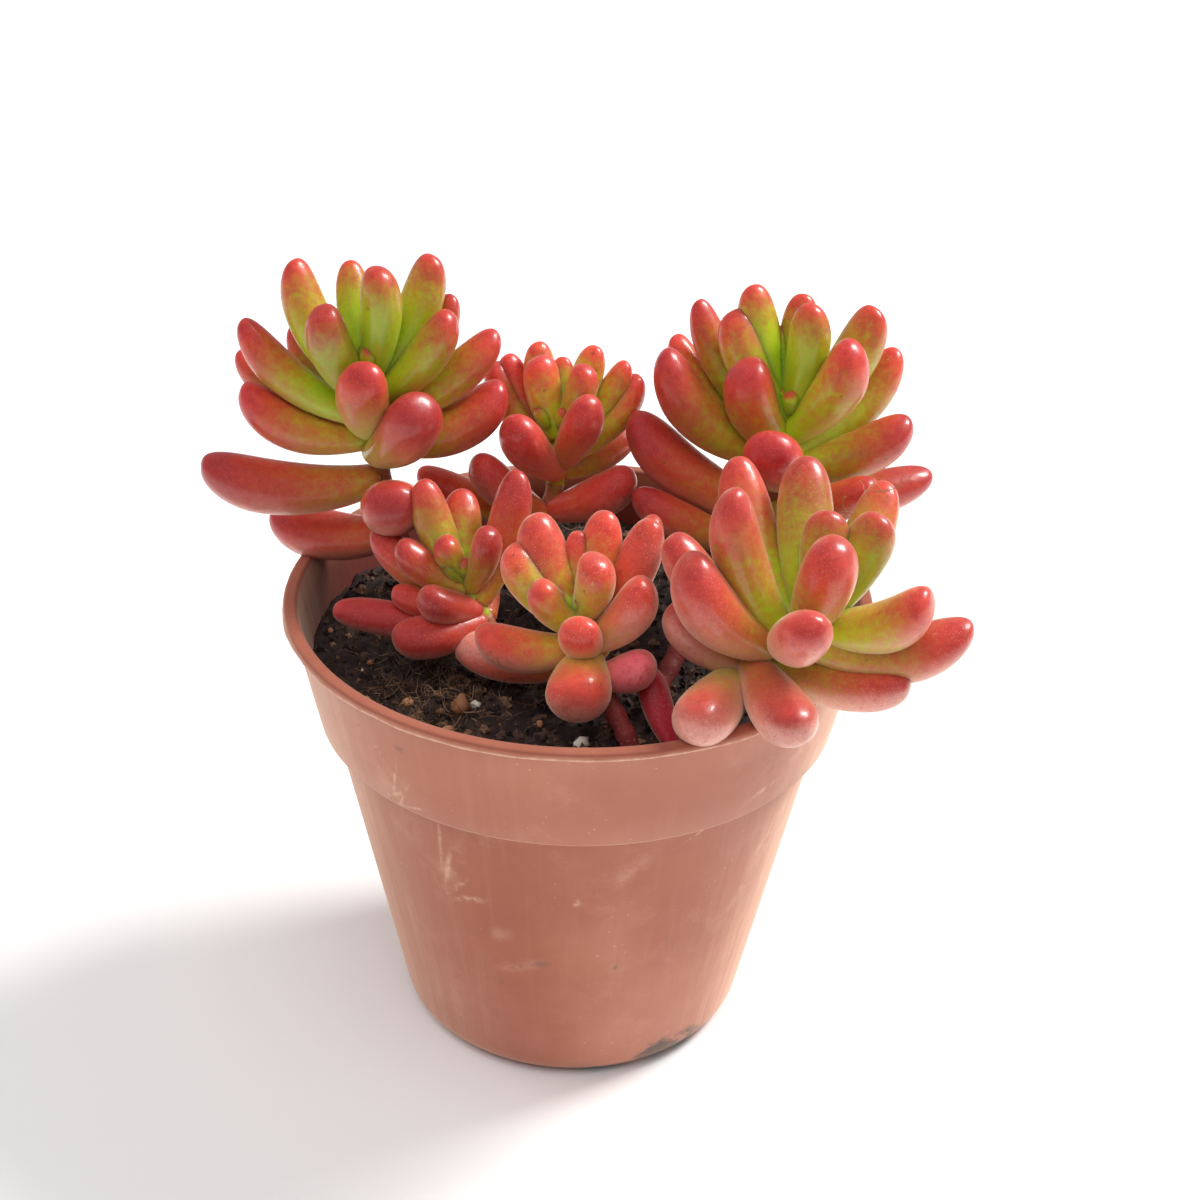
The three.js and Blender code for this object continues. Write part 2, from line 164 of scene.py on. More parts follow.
SHOOTS["small"] = {
    "stem": [[-13.5, -5, 61.5], [-12.5, -6, 59], [-10, -7, 55], [-8, -9, SOIL_LEVEL]],
    "crown_depth": 6, "shoot_painted_light": -0.45, "bloom": 0.5, "haze": 0.3,
    "young": [
        [0, 119, 23, 7, 2.5, 0.02, 0.3],
        [0.5, 184, 64, 6, 3.7, 0.03, 0.34],
        [1, 96, 43, 11.5, 4.6, 0.05, 0.42],
        [2, 340, 74, 9, 4, 0.05, 0.47],
        [2, 175, 34, 10, 4.4, 0.08, 0.53],
        [2.5, 137, 56, 14.5, 4.6, 0.06, 0.34],
        [5.5, 176, 14, 11, 3.8, 0.04, 0.53],
    ],
    "grown": [
        [4, 56, 60, 16.5, 4.8, 0.05, 0.59],
        [5, 155, 27, 16, 4.7, 0.06, 0.53],
        [4.5, 215, 27, 8.5, 4.7, 0.06, 0.79],
        [6, 100, 15, 13, 4.6, 0.06, 0.7],
        [6, 207, 0, 11.5, 5.5, 0.04, 0.8],
        [8, 175, 6, 19, 4.5, 0.01, 0.9],
    ],
}
SHOOTS["front"] = {
    "stem": [[0, -15, 62.5], [1, -16, 57.5], [3, -18, 54], [6.2, -22, SOIL_LEVEL]],
    "crown_depth": 6, "shoot_painted_light": 0.85, "bloom": 2.1, "haze": 0.82,
    "young": [
        [0, 107, 34, 5.5, 2.7, 0.02, 0.2],
        [1, 0, 80, 8.5, 5.1, 0.08, 0.36],
        [1.5, 157, 41, 12, 5.6, 0.08, 0.32],
        [2.5, 182, 49, 8.5, 4.5, 0.05, 0.36],
        [3, 71, 61, 14.5, 4.8, 0.04, 0.41],
        [3, 99, 62, 12, 3.4, 0.03, 0.42],
        [3, 134, 55, 15, 5.9, 0.05, 0.52],
        [5, 259, 51, 8.5, 4.8, 0.03, 0.46],
        [6, 64, 33, 20, 4.3, 0.04, 0.6],
    ],
    "grown": [
        [4, 180, 5, 12.5, 5.5, 0.12, 0.55],
        [4, 348, 53, 11.5, 5.6, 0.1, 0.53],
        [5, 36, 58, 17, 5.2, 0.05, 0.64],
        [5.5, 156, -9, 16.8, 6, 0.08, 0.66],
        [5.2, 261, -7, 10, 7, 0.02, 0.5],
        [8, 338, 28, 7.5, 5, 0.04, 1.25],
    ],
}
ROOTED_LEAF_FOOT = [11, -22, SOIL_LEVEL - 0.4]
ROOTED_LEAF = [0, 117, 46, 9.5, 3.6, 0.03, 1.1]

# ---- Sizes, in millimetres, and shares of them ----

# The leaf's outline: its foot's width, where it is widest, how blunt its tip is, and its section.
LEAF_SIDES = 28
LEAF_RINGS = 32
LEAF_FOOT = 0.56
LEAF_FOOT_ROUND = 0.06
LEAF_SHOULDER = 0.64
LEAF_BLUNTNESS = 2.4
LEAF_SWELL = 1.1
LEAF_FULLNESS = 1.03
LEAF_FLATNESS = 0.9
LEAF_UPPER_FLATNESS = 0.86
LEAF_UNEVENNESS = 0.05
LEAF_SWAY = 0.025
BUD_LEAFLETS = 5
BUD_TURN = 137.5

# The frosting of a leaf: what every leaf has, what age adds and how far, and the ages of an old leaf
# and of the first grown leaf below the crown.
LEAST_BLOOM = 0.15
ADDED_BLOOM = 0.75
OLDEST_BLOOM = 1.9
OLD_AGE = 5
GROWN_AGE = 2.8

STEM_RADIUS = 1.05
STEM_SIDES = 14
STEM_STEP = 0.8
STEM_SMOOTHINGS = 6
ROOT_DEPTH = 5

POT_HEIGHT = 56.5
RIM_RADIUS = 35
LIP_HEIGHT = 1.0
LIP_OVERHANG = 0.9
LIP_CORNER = 0.4
UNDER_CORNER = 0.28
INNER_CORNER = 0.45
WALL = 0.9
DRAFT = math.tan(math.radians(12))
COLLAR_HEIGHT = 13.6
COLLAR_STEP = 1.5
FOOT_CURVE = 3
FLOOR = 1.2
DRAIN_HOLES = 8
DRAIN_RADIUS = 2.2
DRAIN_PATCH = 12
POT_STEPS = 192
WRAP_RADIUS = 27
COLLAR_TOP = POT_HEIGHT - LIP_HEIGHT
COLLAR_BOTTOM = COLLAR_TOP - COLLAR_HEIGHT

SOIL_GRID = 230
SOIL_RELIEF = 0.8
CRUMBS = 3000
GRIT_GRAINS = 80
FIBRES = 1000
HAIRS = 7
THREAD_RINGS = 10
THREAD_SIDES = 4
GAP = 0.3


# ---- Small helpers ----


def metres(point):
    return Vector(point) * MM


def around(angle, radius=1.0, z=0.0):
    return Vector((math.cos(angle) * radius, math.sin(angle) * radius, z))


def outer_radius(z):
    step = COLLAR_STEP if z < COLLAR_BOTTOM else 0
    return RIM_RADIUS - LIP_OVERHANG - step - (COLLAR_TOP - z) * DRAFT


def inner_radius(z):
    return outer_radius(z) - WALL


def point_down(stem, down):
    """The point that is `down` below the tip, along the stem's straight runs."""
    points = [Vector(point) for point in stem]
    left = down
    for above, below in zip(points, points[1:]):
        run = (below - above).length
        if left <= run or below is points[-1]:
            return above.lerp(below, left / run)
        left -= run


def stem_length(stem):
    points = [Vector(point) for point in stem]
    return sum((b - a).length for a, b in zip(points, points[1:]))


def copies(bm, count):
    """Repeats the one shape in the bmesh until there are `count`. Returns each copy's vertices."""
    shape = bpy.data.meshes.new("shape")
    bm.to_mesh(shape)
    bm.clear()
    for _ in range(count):
        bm.from_mesh(shape)
    size = len(shape.vertices)
    bpy.data.meshes.remove(shape)
    every = bm.verts[:]
    return [every[i : i + size] for i in range(0, len(every), size)]


def random_vector(dice, low, high):
    return Vector([dice.uniform(low, high) for _ in range(3)])


def mark(vertices, layer, value):
    for vertex in vertices:
        vertex[layer] = value


def face_outward(bm):
    """Turns every face outward and shades it smooth."""
    bmesh.ops.recalc_face_normals(bm, faces=bm.faces)
    for face in bm.faces:
        face.smooth = True


def put(name, data):
    """Adds an object to the scene."""
    thing = bpy.data.objects.new(name, data)
    bpy.context.scene.collection.objects.link(thing)
    return thing


def body_of(name, bm, material):
    mesh = bpy.data.meshes.new(name)
    bm.to_mesh(mesh)
    bm.free()
    mesh.materials.append(material)
    return put(name, mesh)


def piece_from(name, bm, material, slot, *nodes):
    """Makes the finished piece, riding on the pot's one rigid body."""
    piece = body_of(name, bm, material)
    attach(piece, ROOT)
    if nodes:
        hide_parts(*nodes)


# ---- Finishes ----


def paint(red, green, blue):
    """A colour given as display values from 0 to 255, as the shader's linear colour."""
    def linear(value):
        share = value / 255
        return share / 12.92 if share <= 0.04045 else ((share + 0.055) / 1.055) ** 2.4
    return (linear(red), linear(green), linear(blue), 1.0)


class Finish:
    """A material, with short ways to add and link the nodes that colour it."""

    def __init__(self, name, **settings):
        self.material = bpy.data.materials.new(name)
        self.material.use_nodes = True
        self.tree = self.material.node_tree
        self.shader = self.tree.nodes["Principled BSDF"]
        self.place = self.tree.nodes.new("ShaderNodeTexCoord").outputs["Object"]
        for socket, value in settings.items():
            self.shader.inputs[socket.replace("_", " ")].default_value = value

    def add(self, kind, inputs=(), **settings):
        node = self.tree.nodes.new("ShaderNode" + kind)
        for setting, value in settings.items():
            setattr(node, setting, value)
        self.fill(node, dict(inputs))
        return node

    def fill(self, node, inputs):
        for socket, value in inputs.items():
            if isinstance(value, bpy.types.NodeSocket):
                self.tree.links.new(value, node.inputs[socket])
            else:
                node.inputs[socket].default_value = value

    def attribute(self, name):
        return self.add("Attribute", attribute_name=name).outputs["Fac"]

    def noise(self, scale, detail=3.0, roughness=0.55, place=None):
        inputs = {"Vector": place or self.place, "Scale": scale, "Detail": detail, "Roughness": roughness}
        return self.add("TexNoise", inputs).outputs["Fac"]

    def cells(self, scale):
        return self.add("TexVoronoi", {"Vector": self.place, "Scale": scale})

    def math(self, operation, first, second, clamp=False):
        inputs = {0: first, 1: second}
        return self.add("Math", inputs, operation=operation, use_clamp=clamp).outputs[0]

    def times(self, first, second, clamp=False):
        return self.math("MULTIPLY", first, second, clamp)

    def plus(self, first, second, clamp=False):
        return self.math("ADD", first, second, clamp)

    def times_plus(self, value, factor, offset):
        inputs = {0: value, 1: factor, 2: offset}
        return self.add("Math", inputs, operation="MULTIPLY_ADD").outputs[0]

    def between(self, value, low, high, to_low=0.0, to_high=1.0):
        """Eases from one number to another as the value goes from low to high."""
        inputs = {"Value": value, "From Min": low, "From Max": high, "To Min": to_low, "To Max": to_high}
        return self.add("MapRange", inputs, interpolation_type="SMOOTHSTEP").outputs["Result"]

    def ramp(self, value, *stops):
        """Colours by a value. A stop is (value, red, green, blue)."""
        node = self.add("ValToRGB", {"Fac": value})
        elements = node.color_ramp.elements
        while len(elements) < len(stops):
            elements.new(1.0)
        for element, (position, *colour) in zip(elements, stops):
            element.position = position
            element.color = paint(*colour)
        return node.outputs["Color"]

    def mix(self, share, first, second, blend="MIX"):
        node = self.add("Mix", data_type="RGBA", blend_type=blend)
        self.fill(node, {0: share, 6: first, 7: second})
        return node.outputs[2]

    def stretched(self, place, scale, location=(0, 0, 0), rotation=(0, 0, 0), kind="POINT"):
        inputs = {"Vector": place, "Scale": scale, "Location": location, "Rotation": rotation}
        return self.add("Mapping", inputs, vector_type=kind).outputs["Vector"]

    def colour(self, value):
        self.tree.links.new(value, self.shader.inputs["Base Color"])

    def rough(self, value):
        self.tree.links.new(value, self.shader.inputs["Roughness"])

    def bump(self, height, depth, strength=1.0, below=None):
        inputs = {"Height": height, "Distance": depth, "Strength": strength}
        if below:
            inputs["Normal"] = below
        normal = self.add("Bump", inputs).outputs["Normal"]
        self.tree.links.new(normal, self.shader.inputs["Normal"])
        return normal


def redness(skin, reach, ripeness, blotches, grain):
    """How red each spot of a leaf is, from 0 to 1: most at the tip, with blotches and specks."""
    tipward = skin.times_plus(skin.math("POWER", reach, 3.0), 0.34, -0.05)
    unripe = skin.math("MAXIMUM", skin.times_plus(ripeness, -0.42, 0.42), 0.0)
    at_tip = skin.times(skin.math("POWER", reach, 8.0), unripe)
    spread = skin.plus(tipward, skin.plus(at_tip, ripeness))
    half_ripe = skin.times(skin.between(ripeness, 0.26, 0.4), skin.between(ripeness, 0.8, 0.6))
    slope = skin.times(half_ripe, skin.times_plus(reach, 0.3, -0.18))
    spread = skin.plus(spread, slope)
    specks = skin.times(skin.times_plus(grain, 0.5, -0.25), skin.between(spread, 0.15, 0.45, 0.5, 1.0))
    patchy = skin.between(ripeness, 0.2, 0.45, 0.35, 1.0)
    patches = skin.times(skin.times_plus(blotches, 0.4, -0.2), patchy)
    return skin.plus(skin.plus(spread, patches), specks, clamp=True)


def flesh_colour(skin, spread, reach, ripeness, haze):
    """Green through amber to red, pinks of starved leaves, a dark flush at the tip, and painted light and
    shade.
    """
    flesh = skin.ramp(
        spread,
        (0.05, 146, 186, 20),
        (0.2, 176, 194, 32),
        (0.34, 186, 154, 42),
        (0.46, 192, 118, 48),
        (0.58, 200, 90, 50),
        (0.7, 204, 72, 52),
        (0.85, 197 + 6 * haze, 62 + 8 * haze, 55),
        (1.0, 182 + 10 * haze, 51 + 17 * haze, 52),
    )
    flesh = skin.mix(skin.between(ripeness, 0.78, 1.1), flesh, paint(192, 46, 64))
    flesh = skin.mix(skin.between(ripeness, 1.12, 1.3), flesh, paint(232, 100, 116))
    flush = skin.times(skin.between(skin.noise(560, detail=4), 0.5, 0.62), skin.between(reach, 0.55, 0.95))
    flesh = skin.mix(skin.times(flush, 0.4), flesh, paint(164, 30, 36))
    # Painted light and shade: a random lightness per leaf with its shoot's painted light, and painted light
    # towards the foot, where the leaves crowd in shade.
    leaf_lightness_and_painted_light = skin.times_plus(skin.attribute("random_and_painted_light"), 0.24, 0.88)
    leaf_lightness_and_painted_light = skin.plus(leaf_lightness_and_painted_light, skin.between(reach, 0.5, 0.05, 0.0, 0.13))
    painted_light_grey = skin.add("CombineColor", {0: leaf_lightness_and_painted_light, 1: leaf_lightness_and_painted_light, 2: leaf_lightness_and_painted_light}).outputs[0]
    return skin.mix(1.0, flesh, painted_light_grey, "MULTIPLY")


def frosting(skin, flesh, spread, ripeness, blotches, grain, haze):
    """Adds the pale bloom of the underside, dark mottling where the leaf is red, and pale pores."""
    pores = skin.between(skin.cells(3300).outputs["Distance"], 0.34, 0.1)
    frosted = skin.plus(skin.attribute("underside"), skin.times_plus(blotches, 0.6, -0.3))
    frosted = skin.plus(frosted, skin.times_plus(grain, 0.6, -0.3))
    bloom = skin.between(skin.plus(frosted, skin.attribute("bloom")), 0.25, 1.35)
    bloom = skin.times(bloom, skin.times_plus(pores, 0.3, 0.7), clamp=True)
    bloom = skin.times(bloom, skin.between(ripeness, 1.2, 1.12, 0.25, 1.0))
    flesh = skin.mix(bloom, flesh, skin.mix(0.55, flesh, paint(250, 210, 190)))
    mottle = skin.between(skin.noise(1500, detail=4, roughness=0.7), 0.5, 0.64)
    mottle = skin.times(mottle, skin.between(spread, 0.4, 0.75, 0.04, 0.28))
    flesh = skin.mix(mottle, flesh, paint(158, 30, 34))
    pores = skin.times(pores, skin.between(blotches, 0.34, 0.6, 0.05, 0.1 + 0.25 * haze))
    return skin.mix(pores, flesh, paint(250, 206, 176))


def freckled(skin, flesh):
    """Adds a few brown freckles, in patches."""
    freckle = skin.cells(1100)
    rare = skin.between(freckle.outputs["Color"], 0.74, 0.78)
    dot = skin.times(skin.between(freckle.outputs["Distance"], 0.34, 0.16), rare)
    dot = skin.times(dot, skin.between(skin.noise(150, detail=1), 0.57, 0.64))
    return skin.mix(skin.times(dot, 0.5), flesh, skin.mix(0.75, flesh, paint(84, 30, 24)))


def leaf_skin(name, haze):
    """Waxy leaf skin, green at the foot and red at the tip, paler below, with fine pale pores."""
    skin = Finish(
        name, Roughness=0.4, Coat_Weight=0.4, Coat_Roughness=0.13,
        Subsurface_Weight=0.6, Subsurface_Radius=(1.0, 0.5, 0.2), Subsurface_Scale=0.003,
        Sheen_Weight=haze, Sheen_Roughness=0.42, Sheen_Tint=(1.0, 0.78, 0.6, 1.0),
    )
    reach = skin.attribute("reach")
    ripeness = skin.attribute("ripeness")
    blotches = skin.noise(210)
    grain = skin.noise(1200, detail=4, roughness=0.6)
    spread = redness(skin, reach, ripeness, blotches, grain)
    flesh = flesh_colour(skin, spread, reach, ripeness, haze)
    flesh = frosting(skin, flesh, spread, ripeness, blotches, grain, haze)
    skin.colour(freckled(skin, flesh))
    skin.rough(skin.between(grain, 0.25, 0.75, 0.33, 0.48))
    swell = skin.bump(skin.noise(330, detail=2), 0.00035, 0.6)
    skin.bump(skin.noise(3200, detail=2), 0.00003, 0.5, below=swell)
    return skin.material


def stem_bark():
    """Smooth young bark, green just under the leaves and maroon-brown lower down."""
    bark = Finish("stem_bark", Roughness=0.5, Subsurface_Weight=0.15, Subsurface_Scale=0.0008)
    age = bark.plus(bark.attribute("age"), bark.times_plus(bark.noise(500), 0.5, -0.25), clamp=True)
    skin = bark.ramp(age, (0.0, 150, 140, 60), (0.3, 168, 98, 70), (0.6, 148, 58, 57), (1.0, 112, 44, 43))
    flecks = bark.between(bark.noise(2600, detail=4), 0.56, 0.7)
    bark.colour(bark.mix(bark.times(flecks, 0.5), skin, paint(196, 140, 120)))
    bark.bump(bark.noise(1500, detail=4), 0.00012, 0.8)
    return bark.material


def pot_plastic():
    """Thin matte plastic with flow lines, scuffs, scratches, dust and a smear of dried soil, a painted
    lighter collar, painted shade inside and a painted shadow on the lip's crest.
    """
    sheen = {"Sheen_Weight": 0.6, "Sheen_Roughness": 0.45, "Sheen_Tint": (1.0, 0.74, 0.56, 1.0)}
    pot = Finish("pot_plastic", Roughness=0.55, **sheen)
    wrap = pot.add("UVMap", uv_map="wrap").outputs["UV"]
    height = pot.add("SeparateXYZ", {"Vector": wrap}).outputs["Y"]
    clouds = pot.noise(38, detail=4, roughness=0.6)
    body = pot.ramp(clouds, (0.3, 161, 81, 53), (0.5, 168, 88, 58), (0.7, 178, 100, 69))
    flow = pot.noise(60, place=pot.stretched(wrap, (9, 0.5, 1)))
    haze = pot.between(pot.noise(95, detail=6, roughness=0.7), 0.55, 0.75)
    dust = pot.between(pot.cells(900).outputs["Distance"], 0.16, 0.06)
    layers = (
        # The collar above the step is painted lighter: painted light, for the light it catches.
        (pot.between(height, (COLLAR_BOTTOM - 0.4) * MM, COLLAR_BOTTOM * MM), 0.16, paint(216, 152, 130)),
        (pot.between(height, 0.022, 0.0), 0.4, paint(184, 104, 84)),
        (pot.between(flow, 0.5, 0.75), 0.09, paint(222, 164, 142)),
        (pot.between(pot.noise(30, detail=6, roughness=0.65), 0.44, 0.7), 0.3, paint(214, 152, 126)),
        (haze, 0.25, paint(226, 176, 158)),
        (pot.times(dust, pot.between(pot.noise(120), 0.5, 0.65)), 0.35, paint(236, 206, 192)),
    )
    for cover, share, colour in layers:
        body = pot.mix(pot.times(cover, share), body, colour)
    # Painted shade inside the pot and painted shadow on the lip's crest.
    body = painted_shade_inside(pot, body)
    pot.colour(marked(pot, wrap, body))
    pot.rough(pot.between(haze, 0.0, 1.0, 0.5, 0.66))
    grain = pot.bump(pot.noise(2400), 0.00003, 0.6)
    waves = pot.noise(45, detail=2, place=pot.stretched(wrap, (6, 1, 1)))
    pot.bump(waves, 0.0005, 0.35, below=grain)
    return pot.material


# Marks on the pot: direction round the pot in degrees, height, length and width in millimetres, and
# lean from upright in degrees.
SCRATCHES = (
    (230.5, 45.5, 7.0, 0.35, 14),
    (232.0, 43.5, 5.0, 0.3, 24),
    (229.0, 43.2, 4.0, 0.5, 52),
    (233.5, 42.6, 3.5, 0.4, 75),
    (237.8, 37.5, 6.0, 0.4, 6),
    (238.8, 33.5, 5.0, 0.6, 14),
    (240.5, 30.6, 4.0, 0.8, 42),
    (244.0, 29.2, 4.0, 0.9, 72),
    (271.0, 31.3, 1.2, 0.7, 30),
    (312.0, 44.8, 2.6, 0.7, 70),
    (300.0, 40.5, 5.0, 0.25, 60),
    (60.0, 30.0, 8.0, 0.3, 20),
    (118.0, 44.0, 5.0, 0.4, 50),
    (160.0, 22.0, 9.0, 0.35, 8),
)
SMEARS = (
    (325.0, 33.0, 9.0, 2.6, 22),
    (331.0, 41.0, 6.0, 2.2, 18),
    (319.0, 26.0, 6.0, 1.4, 30),
    (238.5, 33.0, 8.0, 2.4, 20),
    (251.0, 24.5, 2.4, 1.8, 60),
    (256.0, 19.5, 5.0, 1.4, 68),
    (283.0, 36.0, 5.0, 2.0, 40),
    (229.5, 45.0, 5.0, 3.0, 30),
    (322.0, 49.0, 5.0, 4.5, 60),
    (75.0, 30.0, 9.0, 3.0, 25),
    (150.0, 38.0, 7.0, 2.4, 50),
)
STAINS = (
    (262.0, 20.4, 2.6, 0.9, 80),
    (282.0, 19.7, 0.8, 0.7, 0),
    (311.0, 49.2, 0.7, 0.5, 20),
    (322.0, 27.0, 2.2, 0.5, 65),
    (234.0, 51.6, 1.3, 0.9, 10),
    (250.0, 16.2, 1.2, 0.8, 0),
    (40.0, 24.0, 2.0, 0.7, 70),
    (140.0, 35.0, 1.4, 0.8, 15),
)
DRIED_SOIL = (
    (309.0, 1.2, 8.0, 3.8, 88),
    (301.0, 2.2, 6.0, 3.0, 88),
    (282.0, 0.2, 8.0, 1.4, 90),
    (110.0, 1.0, 8.0, 3.0, 90),
)


def spot(finish, wrap, mark):
    """How strongly one long oval mark covers the pot, from 0 to 1."""
    direction, height, length, width, lean = mark
    centre = (math.radians(direction) * WRAP_RADIUS * MM, height * MM, 0)
    size = (width * MM, length * MM, 1)
    place = finish.stretched(wrap, size, centre, (0, 0, math.radians(-lean)), "TEXTURE")
    return finish.add("TexGradient", {"Vector": place}, gradient_type="SPHERICAL").outputs["Fac"]


def spots(finish, wrap, marks):
    cover = 0.0
    for mark in marks:
        cover = finish.math("MAXIMUM", spot(finish, wrap, mark), cover)
    return cover


def painted_shade_inside(pot, body):
    """Darkens the inner wall as painted shade inside the pot, most from below the lip down, and the crest
    of the lip as painted shadow of the plant; pales the lip's outer edge.
    """
    corner = pot.add("SeparateXYZ", {"Vector": pot.place})
    height = corner.outputs["Z"]
    flat = pot.add("CombineXYZ", {"X": corner.outputs["X"], "Y": corner.outputs["Y"]})
    radius = pot.add("VectorMath", {0: flat.outputs[0]}, operation="LENGTH").outputs["Value"]
    outside_at_foot = outer_radius(COLLAR_TOP) - COLLAR_TOP * DRAFT
    outside = pot.times_plus(height, DRAFT, outside_at_foot * MM)
    depth = pot.math("SUBTRACT", outside, radius)
    inside = pot.between(depth, 0.5 * WALL * MM, 0.9 * WALL * MM)
    above_step = pot.between(height, (COLLAR_BOTTOM + 1) * MM, (COLLAR_BOTTOM + 2) * MM)
    below_lip = pot.between(height, COLLAR_TOP * MM, (COLLAR_TOP - 3) * MM, 0.4, 1.0)
    # Painted shade on the inner wall, stronger from just below the lip downwards.
    painted_shade = pot.times(pot.times(inside, above_step), below_lip)
    body = pot.mix(painted_shade, body, pot.mix(1.0, body, paint(148, 82, 88), "MULTIPLY"))
    # Painted shadow of the plant on the crest of the lip.
    crest = pot.between(height, (COLLAR_TOP + 0.5) * MM, (COLLAR_TOP + 0.8) * MM)
    body = pot.mix(crest, body, pot.mix(1.0, body, paint(214, 194, 194), "MULTIPLY"))
    # The lower outer edge of the lip, paler.
    flange = pot.between(radius, (RIM_RADIUS - 0.4) * MM, (RIM_RADIUS - 0.15) * MM)
    low = pot.between(height, (COLLAR_TOP + 0.5) * MM, (COLLAR_TOP + 0.2) * MM)
    pale_edge = pot.times(pot.times(flange, low), pot.between(pot.noise(900), 0.3, 0.6, 0.3, 0.8))
    return pot.mix(pale_edge, body, paint(234, 190, 164))


def marked(pot, wrap, body):
    """Lays on the marks: broad pale smears first, then thin scratches, brown stains and dried soil."""
    hazy = pot.noise(260, detail=6, roughness=0.7)
    torn = pot.noise(700, detail=5, roughness=0.7)
    crusty = pot.noise(450, detail=6, roughness=0.75)
    layers = (
        (SMEARS, pot.between(hazy, 0.34, 0.62), 0.0, 0.9, 0.3, paint(226, 176, 150)),
        (SCRATCHES, pot.between(torn, 0.3, 0.62), 0.08, 0.8, 0.45, paint(234, 192, 160)),
        (STAINS, pot.between(crusty, 0.3, 0.6), 0.15, 0.7, 0.6, paint(120, 72, 62)),
        (DRIED_SOIL, pot.between(crusty, 0.32, 0.6), 0.06, 0.5, 0.93, paint(52, 38, 36)),
    )
    for marks, ragged, thin, thick, share, colour in layers:
        cover = pot.times(spots(pot, wrap, marks), ragged)
        body = pot.mix(pot.between(cover, thin, thick, 0.0, share), body, colour)
    return body


def peat():
    """Dark fibrous potting mix, mottled with paler brown."""
    earth = Finish("peat", Roughness=0.95)
    clods = earth.noise(420, detail=8, roughness=0.75)
    earth.colour(
        earth.ramp(clods, (0.3, 38, 31, 32), (0.5, 65, 52, 50), (0.64, 97, 76, 66), (0.8, 130, 105, 89))
    )
    earth.bump(earth.noise(1500, detail=8, roughness=0.8), 0.0006, 1.0)
    return earth.material


def grains(name, roughness, mottling, relief, *stops):
    """Loose bits that each have their own shade, with finer mottling and relief."""
    bits = Finish(name, Roughness=roughness)
    scale, share = mottling
    shade = bits.times_plus(bits.noise(scale, detail=4), share, -share / 2)
    bits.colour(bits.ramp(bits.plus(bits.attribute("shade"), shade), *stops))
    scale, detail, depth, strength = relief
    bits.bump(bits.noise(scale, detail), depth, strength)
    return bits.material


def crumb():
    """Bits of bark and peat, from nearly black to mid brown."""
    stops = (0.0, 38, 31, 31), (0.4, 63, 49, 47), (0.75, 97, 73, 60), (1.0, 146, 110, 82)
    return grains("crumb", 0.9, (900, 0.3), (3000, 5, 0.0002, 0.9), *stops)


def stone():
    """Grit: rusty and tan pebbles and white perlite."""
    stops = (0.0, 128, 82, 56), (0.4, 176, 128, 92), (0.7, 200, 168, 136), (1.0, 232, 226, 214)
    return grains("stone", 0.75, (1200, 0.16), (2600, 4, 0.00012, 0.8), *stops)


def fibre():
    """Pale brown plant fibre."""
    thread = Finish("fibre", Roughness=0.8)
    shade = thread.attribute("shade")
    thread.colour(thread.ramp(shade, (0.0, 62, 44, 35), (0.5, 104, 78, 58), (1.0, 164, 134, 104)))
    return thread.material


# ---- Leaves ----


def leaf_outline(level, bluntness):
    """How far along the leaf a ring lies, and how wide it is there, each from 0 to 1.

    The level runs evenly from the foot at 0, past the widest ring at 0.5, to the tip at 1.
    """
    if level > 0.5:
        angle = math.pi * (level - 0.5)
        beyond = math.sin(angle) ** (2 / bluntness)
        return LEAF_SHOULDER + (1 - LEAF_SHOULDER) * beyond, max(0.0, math.cos(angle)) ** (2 / bluntness)
    reach = LEAF_SHOULDER * (2 * level) ** 1.3
    swell = math.sin(math.pi / 2 * reach / LEAF_SHOULDER) ** LEAF_SWELL
    rounded = math.sqrt(min(1.0, level / LEAF_FOOT_ROUND))
    return reach, (LEAF_FOOT + (1 - LEAF_FOOT) * swell) * rounded


def leaf_axes(turn_degrees, rise_degrees):
    turn, rise = math.radians(turn_degrees), math.radians(rise_degrees)
    along = around(turn, math.cos(rise), math.sin(rise))
    under = around(turn, math.sin(rise), -math.cos(rise))
    return along, under, along.cross(under)


